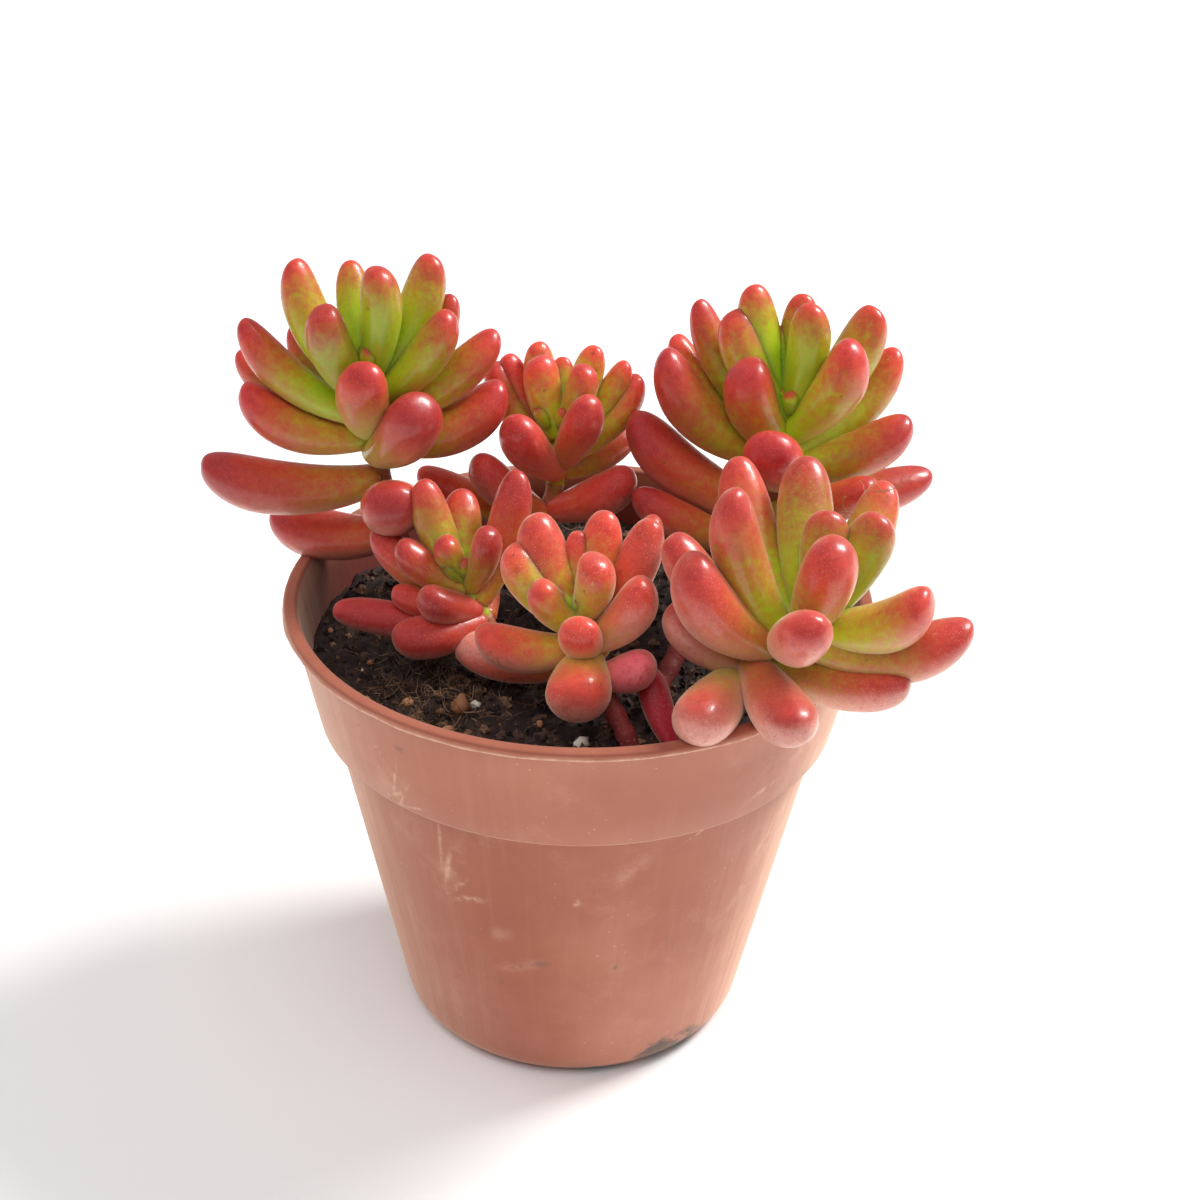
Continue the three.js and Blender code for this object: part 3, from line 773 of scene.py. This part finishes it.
def shape_leaf(bm, ball, foot, row, age, shoot, dice):
    """Shapes a ball into one club-shaped leaf. Its x is the underside, y across and z along it.

    The age is in millimetres of stem: none in the crown, and more the lower an older leaf grows, which
    leaves it more frosted below.
    """
    _, turn, rise, length, width, belly, ripeness = row
    along, under, across = leaf_axes(turn, rise)
    bluntness = LEAF_BLUNTNESS + dice.uniform(-0.2, 0.2)
    sway = dice.uniform(-LEAF_SWAY, LEAF_SWAY)
    # A random lightness per leaf, plus the shoot's painted light and shade.
    random_and_painted_light = dice.random() + shoot["shoot_painted_light"]
    drift = random_vector(dice, 0, 50)
    aged = min(OLDEST_BLOOM, (age / OLD_AGE) ** 1.5)
    bloom = LEAST_BLOOM + ADDED_BLOOM * shoot["bloom"] * aged
    looks = {"ripeness": ripeness, "random_and_painted_light": random_and_painted_light, "bloom": bloom}
    layers = {name: bm.verts.layers.float.get(name) for name in ("reach", *looks)}
    for vertex in ball:
        spread = math.hypot(vertex.co.x, vertex.co.y)
        side = Vector((vertex.co.x, vertex.co.y, 0)) / max(spread, 1e-6)
        level = 1 - math.acos(max(-1.0, min(1.0, vertex.co.z))) / math.pi
        reach, half = leaf_outline(level, bluntness)
        half *= width / 2 * LEAF_FULLNESS if spread > 1e-6 else 0
        dents = noise.noise(side * 0.9 + Vector((0, 0, reach * 2.6)) + drift)
        half *= 1 + LEAF_UNEVENNESS * dents
        flat = LEAF_FLATNESS if side.x > 0 else LEAF_UPPER_FLATNESS
        arc = 4 * reach * (1 - reach) * length
        spot_mm = Vector(foot) + along * reach * length
        spot_mm += under * (arc * belly + side.x * half * flat)
        spot_mm += across * (arc * sway + side.y * half)
        vertex[layers["reach"]] = reach
        for name, value in looks.items():
            vertex[layers[name]] = value
        vertex.co = spot_mm * MM


def find_undersides(bm):
    """Turns the skin outward and marks how far each spot of it faces down, from -1 to 1."""
    face_outward(bm)
    bm.normal_update()
    layer = bm.verts.layers.float["underside"]
    for vertex in bm.verts:
        vertex[layer] = -vertex.normal.z


def leaf_balls(count):
    """A bmesh with a ball for each leaf. Returns it and each ball's vertices."""
    bm = bmesh.new()
    for name in ("reach", "underside", "ripeness", "random_and_painted_light", "bloom"):
        bm.verts.layers.float.new(name)
    bmesh.ops.create_uvsphere(bm, u_segments=LEAF_SIDES, v_segments=LEAF_RINGS, radius=1)
    return bm, copies(bm, count)


# ---- Stems ----


def stem_route(stem, start, end):
    """Evenly spaced points along the stem in metres, with its corners rounded off."""
    steps = max(3, round((end - start) / STEM_STEP))
    route = [point_down(stem, start + (end - start) * i / steps) for i in range(steps + 1)]
    for _ in range(STEM_SMOOTHINGS):
        inner = [(a + b * 2 + c) / 4 for a, b, c in zip(route, route[1:], route[2:])]
        route = [route[0], *inner, route[-1]]
    return [point * MM for point in route]


def tube_rings(bm, sides, count):
    """Makes a closed tube that still has to be laid. Returns its `count` rings of vertices."""
    made = bmesh.ops.create_cone(bm, cap_ends=True, segments=sides, radius1=1, radius2=1, depth=1)["verts"]
    upper = next(vertex for vertex in made if vertex.co.z > 0)
    cap = next(face for face in upper.link_faces if all(vertex.co.z > 0 for vertex in face.verts))
    rings = [[foot_of(vertex) for vertex in cap.verts], list(cap.verts)]
    while len(rings) < count:
        cap = bmesh.ops.extrude_discrete_faces(bm, faces=[cap])["faces"][0]
        rings.append(list(cap.verts))
    return rings


def foot_of(vertex):
    """The other end of the upright edge under a new tube's vertex."""
    ends = [edge.other_vert(vertex) for edge in vertex.link_edges]
    return next(end for end in ends if end.co.z < 0)


def lay_tube(rings, route, radii):
    """Lays a tube's rings along a route, in metres."""
    normal_side = Vector((0.3, 0.5, 0.8))
    for i, (ring, centre, radius) in enumerate(zip(rings, route, radii)):
        ahead = route[min(i + 1, len(route) - 1)]
        behind = route[max(i - 1, 0)]
        along = (ahead - behind).normalized()
        normal_side = (normal_side - along * normal_side.dot(along)).normalized()
        other_side = along.cross(normal_side)
        for k, vertex in enumerate(ring):
            angle = math.tau * k / len(ring)
            vertex.co = centre + (normal_side * math.cos(angle) + other_side * math.sin(angle)) * radius


def add_core(bm, shoot):
    """The top of the stem that the young leaves grow on."""
    route = stem_route(shoot["stem"], 0, shoot["crown_depth"])
    rings = tube_rings(bm, STEM_SIDES, len(route))
    lay_tube(rings, route, [STEM_RADIUS * MM * (0.75 + 0.3 * min(1, i / 4)) for i in range(len(route))])
    layers = bm.verts.layers.float
    for i, ring in enumerate(rings):
        mark(ring, layers.get("reach"), 0.25)
        mark(ring, layers.get("ripeness"), 0.05 + 0.35 * i / len(rings))
        # The core takes a middling painted light and shade.
        mark(ring, layers.get("random_and_painted_light"), 0.4)


def bud_rows(shoot, dice):
    """The small leaves that are just opening at the growing tip."""
    size = 0.45 + 0.05 * shoot["crown_depth"]
    ripeness = min(row[-1] for row in shoot["young"]) - 0.15
    rows = []
    for i in range(BUD_LEAFLETS):
        turn = i * BUD_TURN + dice.uniform(-9, 9)
        length, width = size * (3 + 0.8 * i), size * (1.8 + 0.25 * i)
        rows.append([0.3 * i, turn, 84 - 7 * i, length, width, 0.04, ripeness])
    return rows


def crown(name, shoot, skin):
    dice = random.Random(name)
    rows = [*shoot["young"], *bud_rows(shoot, dice)]
    bm, balls = leaf_balls(len(rows))
    for ball, row in zip(balls, rows):
        shape_leaf(bm, ball, point_down(shoot["stem"], row[0]), row, 0, shoot, dice)
    add_core(bm, shoot)
    find_undersides(bm)
    piece_from(f"{name}_rosette", bm, skin, "young_leaf", name)


def grown_leaf(name, foot, row, age, shoot, skin):
    bm, balls = leaf_balls(1)
    shape_leaf(bm, balls[0], foot, row, age, shoot, random.Random(name))
    find_undersides(bm)
    piece_from(f"{name}_flesh", bm, skin, "grown_leaf", name)


def lower_stem(name, shoot, bark):
    """The bare stem from the crown down into the soil, knobbly with the scars of fallen leaves."""
    dice = random.Random(name)
    x, y, z = shoot["stem"][-1]
    rooted = [*shoot["stem"], [x, y, z - ROOT_DEPTH]]
    route = stem_route(rooted, shoot["crown_depth"] - 0.5, stem_length(rooted))
    bm = bmesh.new()
    age = bm.verts.layers.float.new("age")
    rings = tube_rings(bm, STEM_SIDES, len(route))
    radii = []
    for i, ring in enumerate(rings):
        down = i / len(rings)
        scar = 0.14 if i % 3 == 0 else dice.uniform(-0.05, 0.05)
        radii.append(STEM_RADIUS * MM * (1.0 + scar + 0.12 * down))
        mark(ring, age, min(1.0, 0.25 + 0.9 * down))
    lay_tube(rings, route, radii)
    face_outward(bm)
    piece_from(f"{name}_bark", bm, bark, "stem_bark", name)


# ---- The pot ----


def arc(centre_r, centre_z, radius, start, end, steps):
    """Points on a round corner of the pot's section, from one angle in degrees to another."""
    points = []
    for i in range(steps + 1):
        angle = math.radians(start + (end - start) * i / steps)
        points.append((centre_r + radius * math.cos(angle), centre_z + radius * math.sin(angle)))
    return points


def foot_curve(start, corner, end, steps):
    """Points on the round edge of the foot, as a quadratic curve that bends round a corner."""
    points = []
    for i in range(steps + 1):
        t = i / steps
        r = (1 - t) ** 2 * start[0] + 2 * t * (1 - t) * corner[0] + t**2 * end[0]
        z = (1 - t) ** 2 * start[1] + 2 * t * (1 - t) * corner[1] + t**2 * end[1]
        points.append((r, z))
    return points


def drain_rings():
    """Radii at which the pot's floor is divided, evenly across the ring of drain holes."""
    reach = outer_radius(0) - FOOT_CURVE - DRAIN_RADIUS - WALL
    side = reach * math.tau / POT_STEPS * DRAIN_PATCH
    return [reach + side * (i / DRAIN_PATCH - 0.5) for i in range(DRAIN_PATCH + 1)]


def pot_section():
    """The pot's section from the middle of its underside, up the outside, and back down the inside."""
    def outside(*heights):
        return [(outer_radius(z), z) for z in heights]

    def inside(*heights):
        return [(inner_radius(z), z) for z in heights]

    below = COLLAR_BOTTOM - COLLAR_STEP / 2
    foot = outer_radius(0)
    rings = drain_rings()
    points = [(0, 0), (rings[0] / 2, 0)]
    points += [(r, 0) for r in rings]
    points += foot_curve((foot - FOOT_CURVE, 0), (foot, 0), (outer_radius(FOOT_CURVE), FOOT_CURVE), 8)
    points += outside(12, 22, 32, below - 0.5)
    points += [(outer_radius(below) + 0.08, below), (outer_radius(COLLAR_BOTTOM) - 0.3, COLLAR_BOTTOM - 0.22)]
    points += [(outer_radius(COLLAR_BOTTOM) + 0.02, COLLAR_BOTTOM + 0.25)]
    points += outside(COLLAR_BOTTOM + 4, COLLAR_BOTTOM + 8, COLLAR_TOP - 0.7)
    points += [(outer_radius(COLLAR_TOP) + 0.1, COLLAR_TOP - 0.15)]
    points += arc(RIM_RADIUS - UNDER_CORNER, COLLAR_TOP + 0.3, UNDER_CORNER, -80, 0, 3)
    points += arc(RIM_RADIUS - LIP_CORNER, POT_HEIGHT - LIP_CORNER, LIP_CORNER, 0, 90, 4)
    points += arc(inner_radius(COLLAR_TOP) + 0.55, POT_HEIGHT - INNER_CORNER, INNER_CORNER, 90, 175, 4)
    points += inside(COLLAR_TOP - 0.6, SOIL_LEVEL + 3, COLLAR_BOTTOM)
    points += inside(below - WALL, 25, FOOT_CURVE + FLOOR)
    points += [(r, FLOOR) for r in reversed([*rings, foot - FOOT_CURVE - WALL])]
    return [*points, (rings[0] / 2, FLOOR), (0, FLOOR)]


def drain_patch_faces(bm, z, middle):
    """The square of floor faces round one drain hole, on the face of the floor at height z."""
    rings = drain_rings()
    half_angle = math.pi / POT_STEPS * DRAIN_PATCH
    found = []
    for face in bm.faces:
        centre = face.calc_center_median() / MM
        r = math.hypot(centre.x, centre.y)
        off = (math.atan2(centre.y, centre.x) - middle + math.pi) % (math.tau) - math.pi
        if abs(centre.z - z) < 0.01 and rings[0] < r < rings[-1] and abs(off) < half_angle:
            found.append(face)
    return found


def round_opening(bm, z, middle):
    """Cuts a square patch out of the floor and closes it round a circle. Returns the circle's edges."""
    patch = drain_patch_faces(bm, z, middle)
    border = dict.fromkeys(edge for face in patch for edge in face.edges)
    bmesh.ops.delete(bm, geom=patch, context="FACES")
    border = [edge for edge in border if edge.is_valid and edge.is_boundary]
    rings = drain_rings()
    reach = (rings[0] + rings[-1]) / 2
    centre = around(middle, reach, z) * MM
    circle = bmesh.ops.create_circle(bm, segments=len(border), radius=DRAIN_RADIUS * MM)["verts"]
    start = middle + math.pi / 4
    for k, vertex in enumerate(circle):
        vertex.co = centre + around(start + math.tau * k / len(border)) * DRAIN_RADIUS * MM
    hole = list(dict.fromkeys(edge for vertex in circle for edge in vertex.link_edges))
    bmesh.ops.bridge_loops(bm, edges=border + hole)
    return hole


def wrap_round(bm):
    """Lays the pot's surface out flat: x is metres round it at its mean radius, and y is the height."""
    wrap = bm.loops.layers.uv.new("wrap")
    for face in bm.faces:
        middle = face.calc_center_median()
        base = math.atan2(middle.y, middle.x) % (math.tau)
        for loop in face.loops:
            angle = math.atan2(loop.vert.co.y, loop.vert.co.x) % (math.tau)
            angle += math.tau * round((base - angle) / (math.tau))
            loop[wrap].uv = (angle * WRAP_RADIUS * MM, loop.vert.co.z)


def pot_shell(plastic):
    bm = bmesh.new()
    points = [bm.verts.new((r * MM, 0, z * MM)) for r, z in pot_section()]
    edges = [bm.edges.new(pair) for pair in zip(points, points[1:])]
    bmesh.ops.spin(
        bm, geom=points + edges, axis=(0, 0, 1), cent=(0, 0, 0),
        angle=math.tau, steps=POT_STEPS, use_merge=True,
    )
    bmesh.ops.remove_doubles(bm, verts=bm.verts, dist=1e-6)
    bmesh.ops.recalc_face_normals(bm, faces=bm.faces)
    for index in range(DRAIN_HOLES):
        middle = math.tau * index / DRAIN_HOLES
        holes = round_opening(bm, 0, middle) + round_opening(bm, FLOOR, middle)
        bmesh.ops.bridge_loops(bm, edges=holes)
    moulding_flash(bm)
    face_outward(bm)
    wrap_round(bm)
    piece_from("nursery_pot", bm, plastic, "pot_plastic", "pot")


def moulding_flash(bm):
    """The thin ragged line of flash where the mould closed, round the outer edge of the lip."""
    for vertex in bm.verts:
        r = math.hypot(vertex.co.x, vertex.co.y) / MM
        z = vertex.co.z / MM
        if r > RIM_RADIUS - 0.12 and z < COLLAR_TOP + 0.45:
            angle = math.atan2(vertex.co.y, vertex.co.x)
            ragged = noise.noise(around(angle, 9, 1.7))
            fine = noise.noise(around(angle, 40, 5.1))
            out = 0.16 + 0.14 * ragged + 0.08 * fine
            vertex.co.x *= 1 + out / r
            vertex.co.y *= 1 + out / r
            vertex.co.z += 0.12 * fine * MM


# ---- The soil ----


def soil_height(x, y):
    """The height of the soil at a place, in millimetres."""
    swell = math.sin(x / 4.3 + 1) * math.cos(y / 5.1) + 0.5 * math.sin(x / 2.1 - y / 2.7)
    edge = min(1.0, math.hypot(x, y) / inner_radius(SOIL_LEVEL))
    lumps = noise.fractal(Vector((x / 4.2, y / 4.2, 0.7)), 0.9, 2.1, 5)
    clods = noise.fractal(Vector((x / 1.3, y / 1.3, 4.7)), 0.8, 2.2, 4)
    return SOIL_LEVEL + SOIL_RELIEF * swell * (1 - edge**4) + 0.9 * lumps + 0.45 * clods


def soil_body(earth):
    """A round cake of potting mix with a rough top."""
    radius = inner_radius(SOIL_LEVEL) - GAP / 3
    bm = bmesh.new()
    bmesh.ops.create_grid(bm, x_segments=SOIL_GRID, y_segments=SOIL_GRID, size=1)
    for vertex in bm.verts:
        u, v = vertex.co.x, vertex.co.y
        x = radius * u * math.sqrt(1 - v * v / 2)
        y = radius * v * math.sqrt(1 - u * u / 2)
        vertex.co = metres((x, y, soil_height(x, y)))
    below = COLLAR_BOTTOM - COLLAR_STEP / 2 - WALL
    side = (
        (inner_radius(COLLAR_BOTTOM + COLLAR_STEP) - GAP, COLLAR_BOTTOM + COLLAR_STEP),
        (inner_radius(below) - GAP, below),
        (inner_radius(FOOT_CURVE + FLOOR) - GAP, FOOT_CURVE + FLOOR),
        (outer_radius(0) - FOOT_CURVE - WALL, FLOOR + GAP),
    )
    rim = [edge for edge in bm.edges if edge.is_boundary]
    for r, z in side:
        grown = bmesh.ops.extrude_edge_only(bm, edges=rim)["geom"]
        rim = [item for item in grown if isinstance(item, bmesh.types.BMEdge)]
        for vertex in {vertex for edge in rim for vertex in edge.verts}:
            out = Vector((vertex.co.x, vertex.co.y, 0)).normalized() * r
            vertex.co = metres((out.x, out.y, z))
    bmesh.ops.edgeloop_fill(bm, edges=rim)
    face_outward(bm)
    piece_from("peat_mix", bm, earth, "potting_soil", "soil")


def on_soil(x, y, above):
    """A place above the soil's rough top, in metres."""
    return metres((x, y, soil_height(x, y) + above))


def loose_bits(seed):
    """Dice, an empty bmesh, and its layer for each bit's own shade."""
    bm = bmesh.new()
    return random.Random(seed), bm, bm.verts.layers.float.new("shade")


def shape_lump(vertices, place, size, dice, flattest=0.6, knobs=0.5):
    """Turns a ball into one irregular grain. The place is in metres and the size in millimetres."""
    stretch = Vector((dice.uniform(0.7, 1.3), dice.uniform(0.6, 1.1), dice.uniform(flattest, 1.0)))
    spin = Matrix.Rotation(dice.uniform(0, 6.3), 3, random_vector(dice, -1, 1))
    drift = random_vector(dice, 0, 90)
    for vertex in vertices:
        lump = 1 + knobs * noise.noise(vertex.co * 1.4 + drift)
        vertex.co = place + spin @ (vertex.co * lump * stretch) * size * MM


def scatter_place(dice, spread=0.97):
    """A random place on the soil, in millimetres."""
    radius = inner_radius(SOIL_LEVEL) * spread * math.sqrt(dice.random())
    angle = dice.uniform(0, math.tau)
    return radius * math.cos(angle), radius * math.sin(angle)


def crumbs(bits):
    dice, bm, layer = loose_bits("crumbs")
    bmesh.ops.create_uvsphere(bm, u_segments=8, v_segments=5, radius=1)
    for ball in copies(bm, CRUMBS):
        x, y = scatter_place(dice)
        size = 0.16 + 0.62 * dice.random() ** 3
        shape_lump(ball, on_soil(x, y, size * 0.25), size, dice, 0.3, 1.1)
        mark(ball, layer, dice.random() ** 1.6)
    piece_from("peat_crumbs", bm, bits, "potting_soil")


# The larger grains of grit: place in millimetres, size and shade (0 rusty, 0.5 tan, 1 white).
GRIT = (
    (-13.2, -16.4, 1.15, 0.12),
    (-11.6, -15.2, 0.75, 0.95),
    (-14.6, -21.2, 1.0, 0.3),
    (0.6, -23.0, 0.9, 1.0),
    (-1.8, -26.2, 0.6, 0.6),
    (0.9, -26.6, 0.95, 0.25),
    (2.2, -26.0, 0.6, 0.5),
    (-19.5, -14.8, 0.7, 0.35),
    (-6.0, -2.0, 0.8, 0.9),
    (12.0, 6.0, 0.9, 0.95),
    (5.0, 19.0, 0.8, 0.4),
    (-17.0, 16.0, 1.0, 0.2),
    (19.0, 14.0, 0.7, 1.0),
    (-5.0, 24.0, 0.9, 0.9),
)


def grit(grain):
    dice, bm, layer = loose_bits("grit")
    bmesh.ops.create_icosphere(bm, subdivisions=2, radius=1)
    balls = copies(bm, GRIT_GRAINS)
    for ball, (x, y, size, shade) in zip(balls, GRIT):
        shape_lump(ball, on_soil(x, y, size * 0.5), size, dice, 0.8)
        mark(ball, layer, shade)
    for ball in balls[len(GRIT) :]:
        x, y = scatter_place(dice)
        size = dice.uniform(0.15, 0.45)
        shape_lump(ball, on_soil(x, y, size * 0.6), size, dice)
        mark(ball, layer, dice.choice((0.15, 0.35, 0.5, 0.75, 1.0)))
    face_outward(bm)
    piece_from("grit", bm, grain, "potting_soil")


def thread_route(start, heading, length, curl, dice):
    """A curly path of THREAD_RINGS points, in metres."""
    bend = random_vector(dice, -1, 1)
    route = [Vector(start)]
    while len(route) < THREAD_RINGS:
        heading = (heading + bend * curl).normalized()
        bend += random_vector(dice, -1, 1) * 0.5
        route.append(route[-1] + heading * (length / THREAD_RINGS))
    return route


def threads(bm, count):
    """Makes threads that still have to be laid. Returns each one's vertices, all together and by rings."""
    rings = tube_rings(bm, THREAD_SIDES, THREAD_RINGS)
    order = {vertex: i for i, vertex in enumerate(bm.verts)}
    rings = [[order[vertex] for vertex in ring] for ring in rings]
    return [(tube, [[tube[i] for i in ring] for ring in rings]) for tube in copies(bm, count)]


def fibres(thread):
    """Curly fibres all over the soil, thickest at the front left."""
    dice, bm, layer = loose_bits("fibres")
    for index, (tube, rings) in enumerate(threads(bm, FIBRES)):
        x, y = scatter_place(dice, 0.9)
        if index % 2:
            x = max(-24, min(-8, dice.gauss(-17, 5)))
            y = max(-20, min(-6, dice.gauss(-14, 5)))
        angle = dice.uniform(0, math.tau)
        heading = around(angle, 1, dice.uniform(-0.1, 0.35))
        route = thread_route(on_soil(x, y, 0.1), heading, dice.uniform(1.5, 5.0) * MM, 0.4, dice)
        thickness = dice.uniform(0.03, 0.075) * MM
        lay_tube(rings, route, [thickness * (1 - 0.6 * i / THREAD_RINGS) for i in range(THREAD_RINGS)])
        mark(tube, layer, dice.random())
    face_outward(bm)
    piece_from("peat_fibres", bm, thread, "potting_soil")


def dry_hairs(thread):
    """A few dead hairs caught on the growing tip of the leaning shoot."""
    dice, bm, layer = loose_bits("hairs")
    shoot = SHOOTS["leaning"]
    down, turn, rise, length, width, *_ = shoot["young"][3]
    along, under, across = leaf_axes(turn, rise)
    for tube, rings in threads(bm, HAIRS):
        start = point_down(shoot["stem"], down) + along * length * dice.uniform(0.6, 0.9)
        start += under * -0.55 * width + across * dice.uniform(-2, 2)
        heading = across * dice.choice((-1, 1)) + along * dice.uniform(-0.6, 0.6)
        route = thread_route(metres(start), heading - under * 0.2, dice.uniform(3, 6) * MM, 0.25, dice)
        lay_tube(rings, route, [dice.uniform(0.035, 0.05) * MM] * THREAD_RINGS)
        mark(tube, layer, 1.4)
    face_outward(bm)
    piece_from("dry_hairs", bm, thread, "stem_bark")


# ---- The studio ----

CAMERA_PLACE = (0.0, -0.25013, 0.19781)
CAMERA_YAW = 0.010
CAMERA_PITCH = 0.517
CAMERA_ROLL = 0.025
FOCAL_PIXELS = 2413.7
FRAME_PIXELS = 1200
SENSOR = 36.0

# A soft box: its direction from the plant, distance, size, watts and colour, and whether it is
# mirrored in the plant's gloss.
LIGHTS = {
    "window": ((0.64, 0.3, 0.7), 0.9, (0.28, 0.36), 9.5, (1.0, 0.98, 0.95), True),
    "left_fill": ((-0.85, 0.25, 0.5), 1.0, (0.7, 0.7), 3.0, (1.0, 0.99, 0.97), False),
    "top_fill": ((-0.1, -0.4, 0.92), 1.3, (1.0, 1.0), 8.0, (1.0, 1.0, 1.0), False),
}
LIT_POINT = (0, 0, 0.06)


def studio_camera():
    yaw, pitch = CAMERA_YAW, CAMERA_PITCH
    ahead = Vector((math.sin(yaw) * math.cos(pitch), math.cos(yaw) * math.cos(pitch), -math.sin(pitch)))
    level = Vector((math.cos(yaw), -math.sin(yaw), 0))
    above = level.cross(ahead)
    side = level * math.cos(CAMERA_ROLL) + above * math.sin(CAMERA_ROLL)
    top = above * math.cos(CAMERA_ROLL) - level * math.sin(CAMERA_ROLL)
    data = bpy.data.cameras.new("studio_camera")
    data.sensor_width = SENSOR
    data.lens = SENSOR * FOCAL_PIXELS / FRAME_PIXELS
    data.clip_start = 0.01
    data.clip_end = 20
    camera = put("studio_camera", data)
    rows = [(side[i], top[i], -ahead[i], CAMERA_PLACE[i]) for i in range(3)]
    camera.matrix_world = Matrix([*rows, (0, 0, 0, 1)])
    bpy.context.scene.camera = camera


def soft_light(name, direction, distance, size, watts, colour, mirrored):
    target = Vector(LIT_POINT)
    data = bpy.data.lights.new(name, "AREA")
    data.shape = "RECTANGLE"
    data.size, data.size_y = size
    data.energy = watts
    data.color = colour
    light = put(name, data)
    light.location = target + Vector(direction).normalized() * distance
    light.visible_glossy = mirrored
    light.rotation_mode = "QUATERNION"
    light.rotation_quaternion = (target - light.location).to_track_quat("-Z", "Y")


def studio_floor():
    finish = Finish("studio_floor", Roughness=0.9)
    finish.shader.inputs["Base Color"].default_value = paint(246, 246, 246)
    bm = bmesh.new()
    bmesh.ops.create_circle(bm, cap_ends=True, segments=96, radius=4.0)
    floor = body_of("studio_floor", bm, finish.material)
    floor.location.z = -0.0001


def studio():
    studio_floor()
    for name, light in LIGHTS.items():
        soft_light(name, *light)
    world = bpy.data.worlds.new("studio")
    world.use_nodes = True
    backdrop = world.node_tree.nodes["Background"]
    backdrop.inputs["Color"].default_value = (0.96, 0.97, 1.0, 1.0)
    backdrop.inputs["Strength"].default_value = 0.32
    bpy.context.scene.world = world
    bpy.context.scene.view_settings.view_transform = "Standard"


# ---- Putting it together ----


def build():
    bark, plastic = stem_bark(), pot_plastic()
    for shoot_name, shoot in SHOOTS.items():
        skin = leaf_skin(f"{shoot_name}_leaf_skin", shoot["haze"])
        lower_stem(f"stem_{shoot_name}", shoot, bark)
        crown(f"crown_{shoot_name}", shoot, skin)
        for number, row in enumerate(shoot["grown"], 1):
            foot = point_down(shoot["stem"], row[0])
            age = max(row[0] - shoot["crown_depth"], 0) + GROWN_AGE
            grown_leaf(f"leaf_{shoot_name}_{number:02d}", foot, row, age, shoot, skin)
    grown_leaf("leaf_rooted", ROOTED_LEAF_FOOT, ROOTED_LEAF, 0, SHOOTS["small"], skin)
    pot_shell(plastic)
    soil_body(peat())
    crumbs(crumb())
    grit(stone())
    thread = fibre()
    fibres(thread)
    dry_hairs(thread)


studio_camera()
studio()
build()
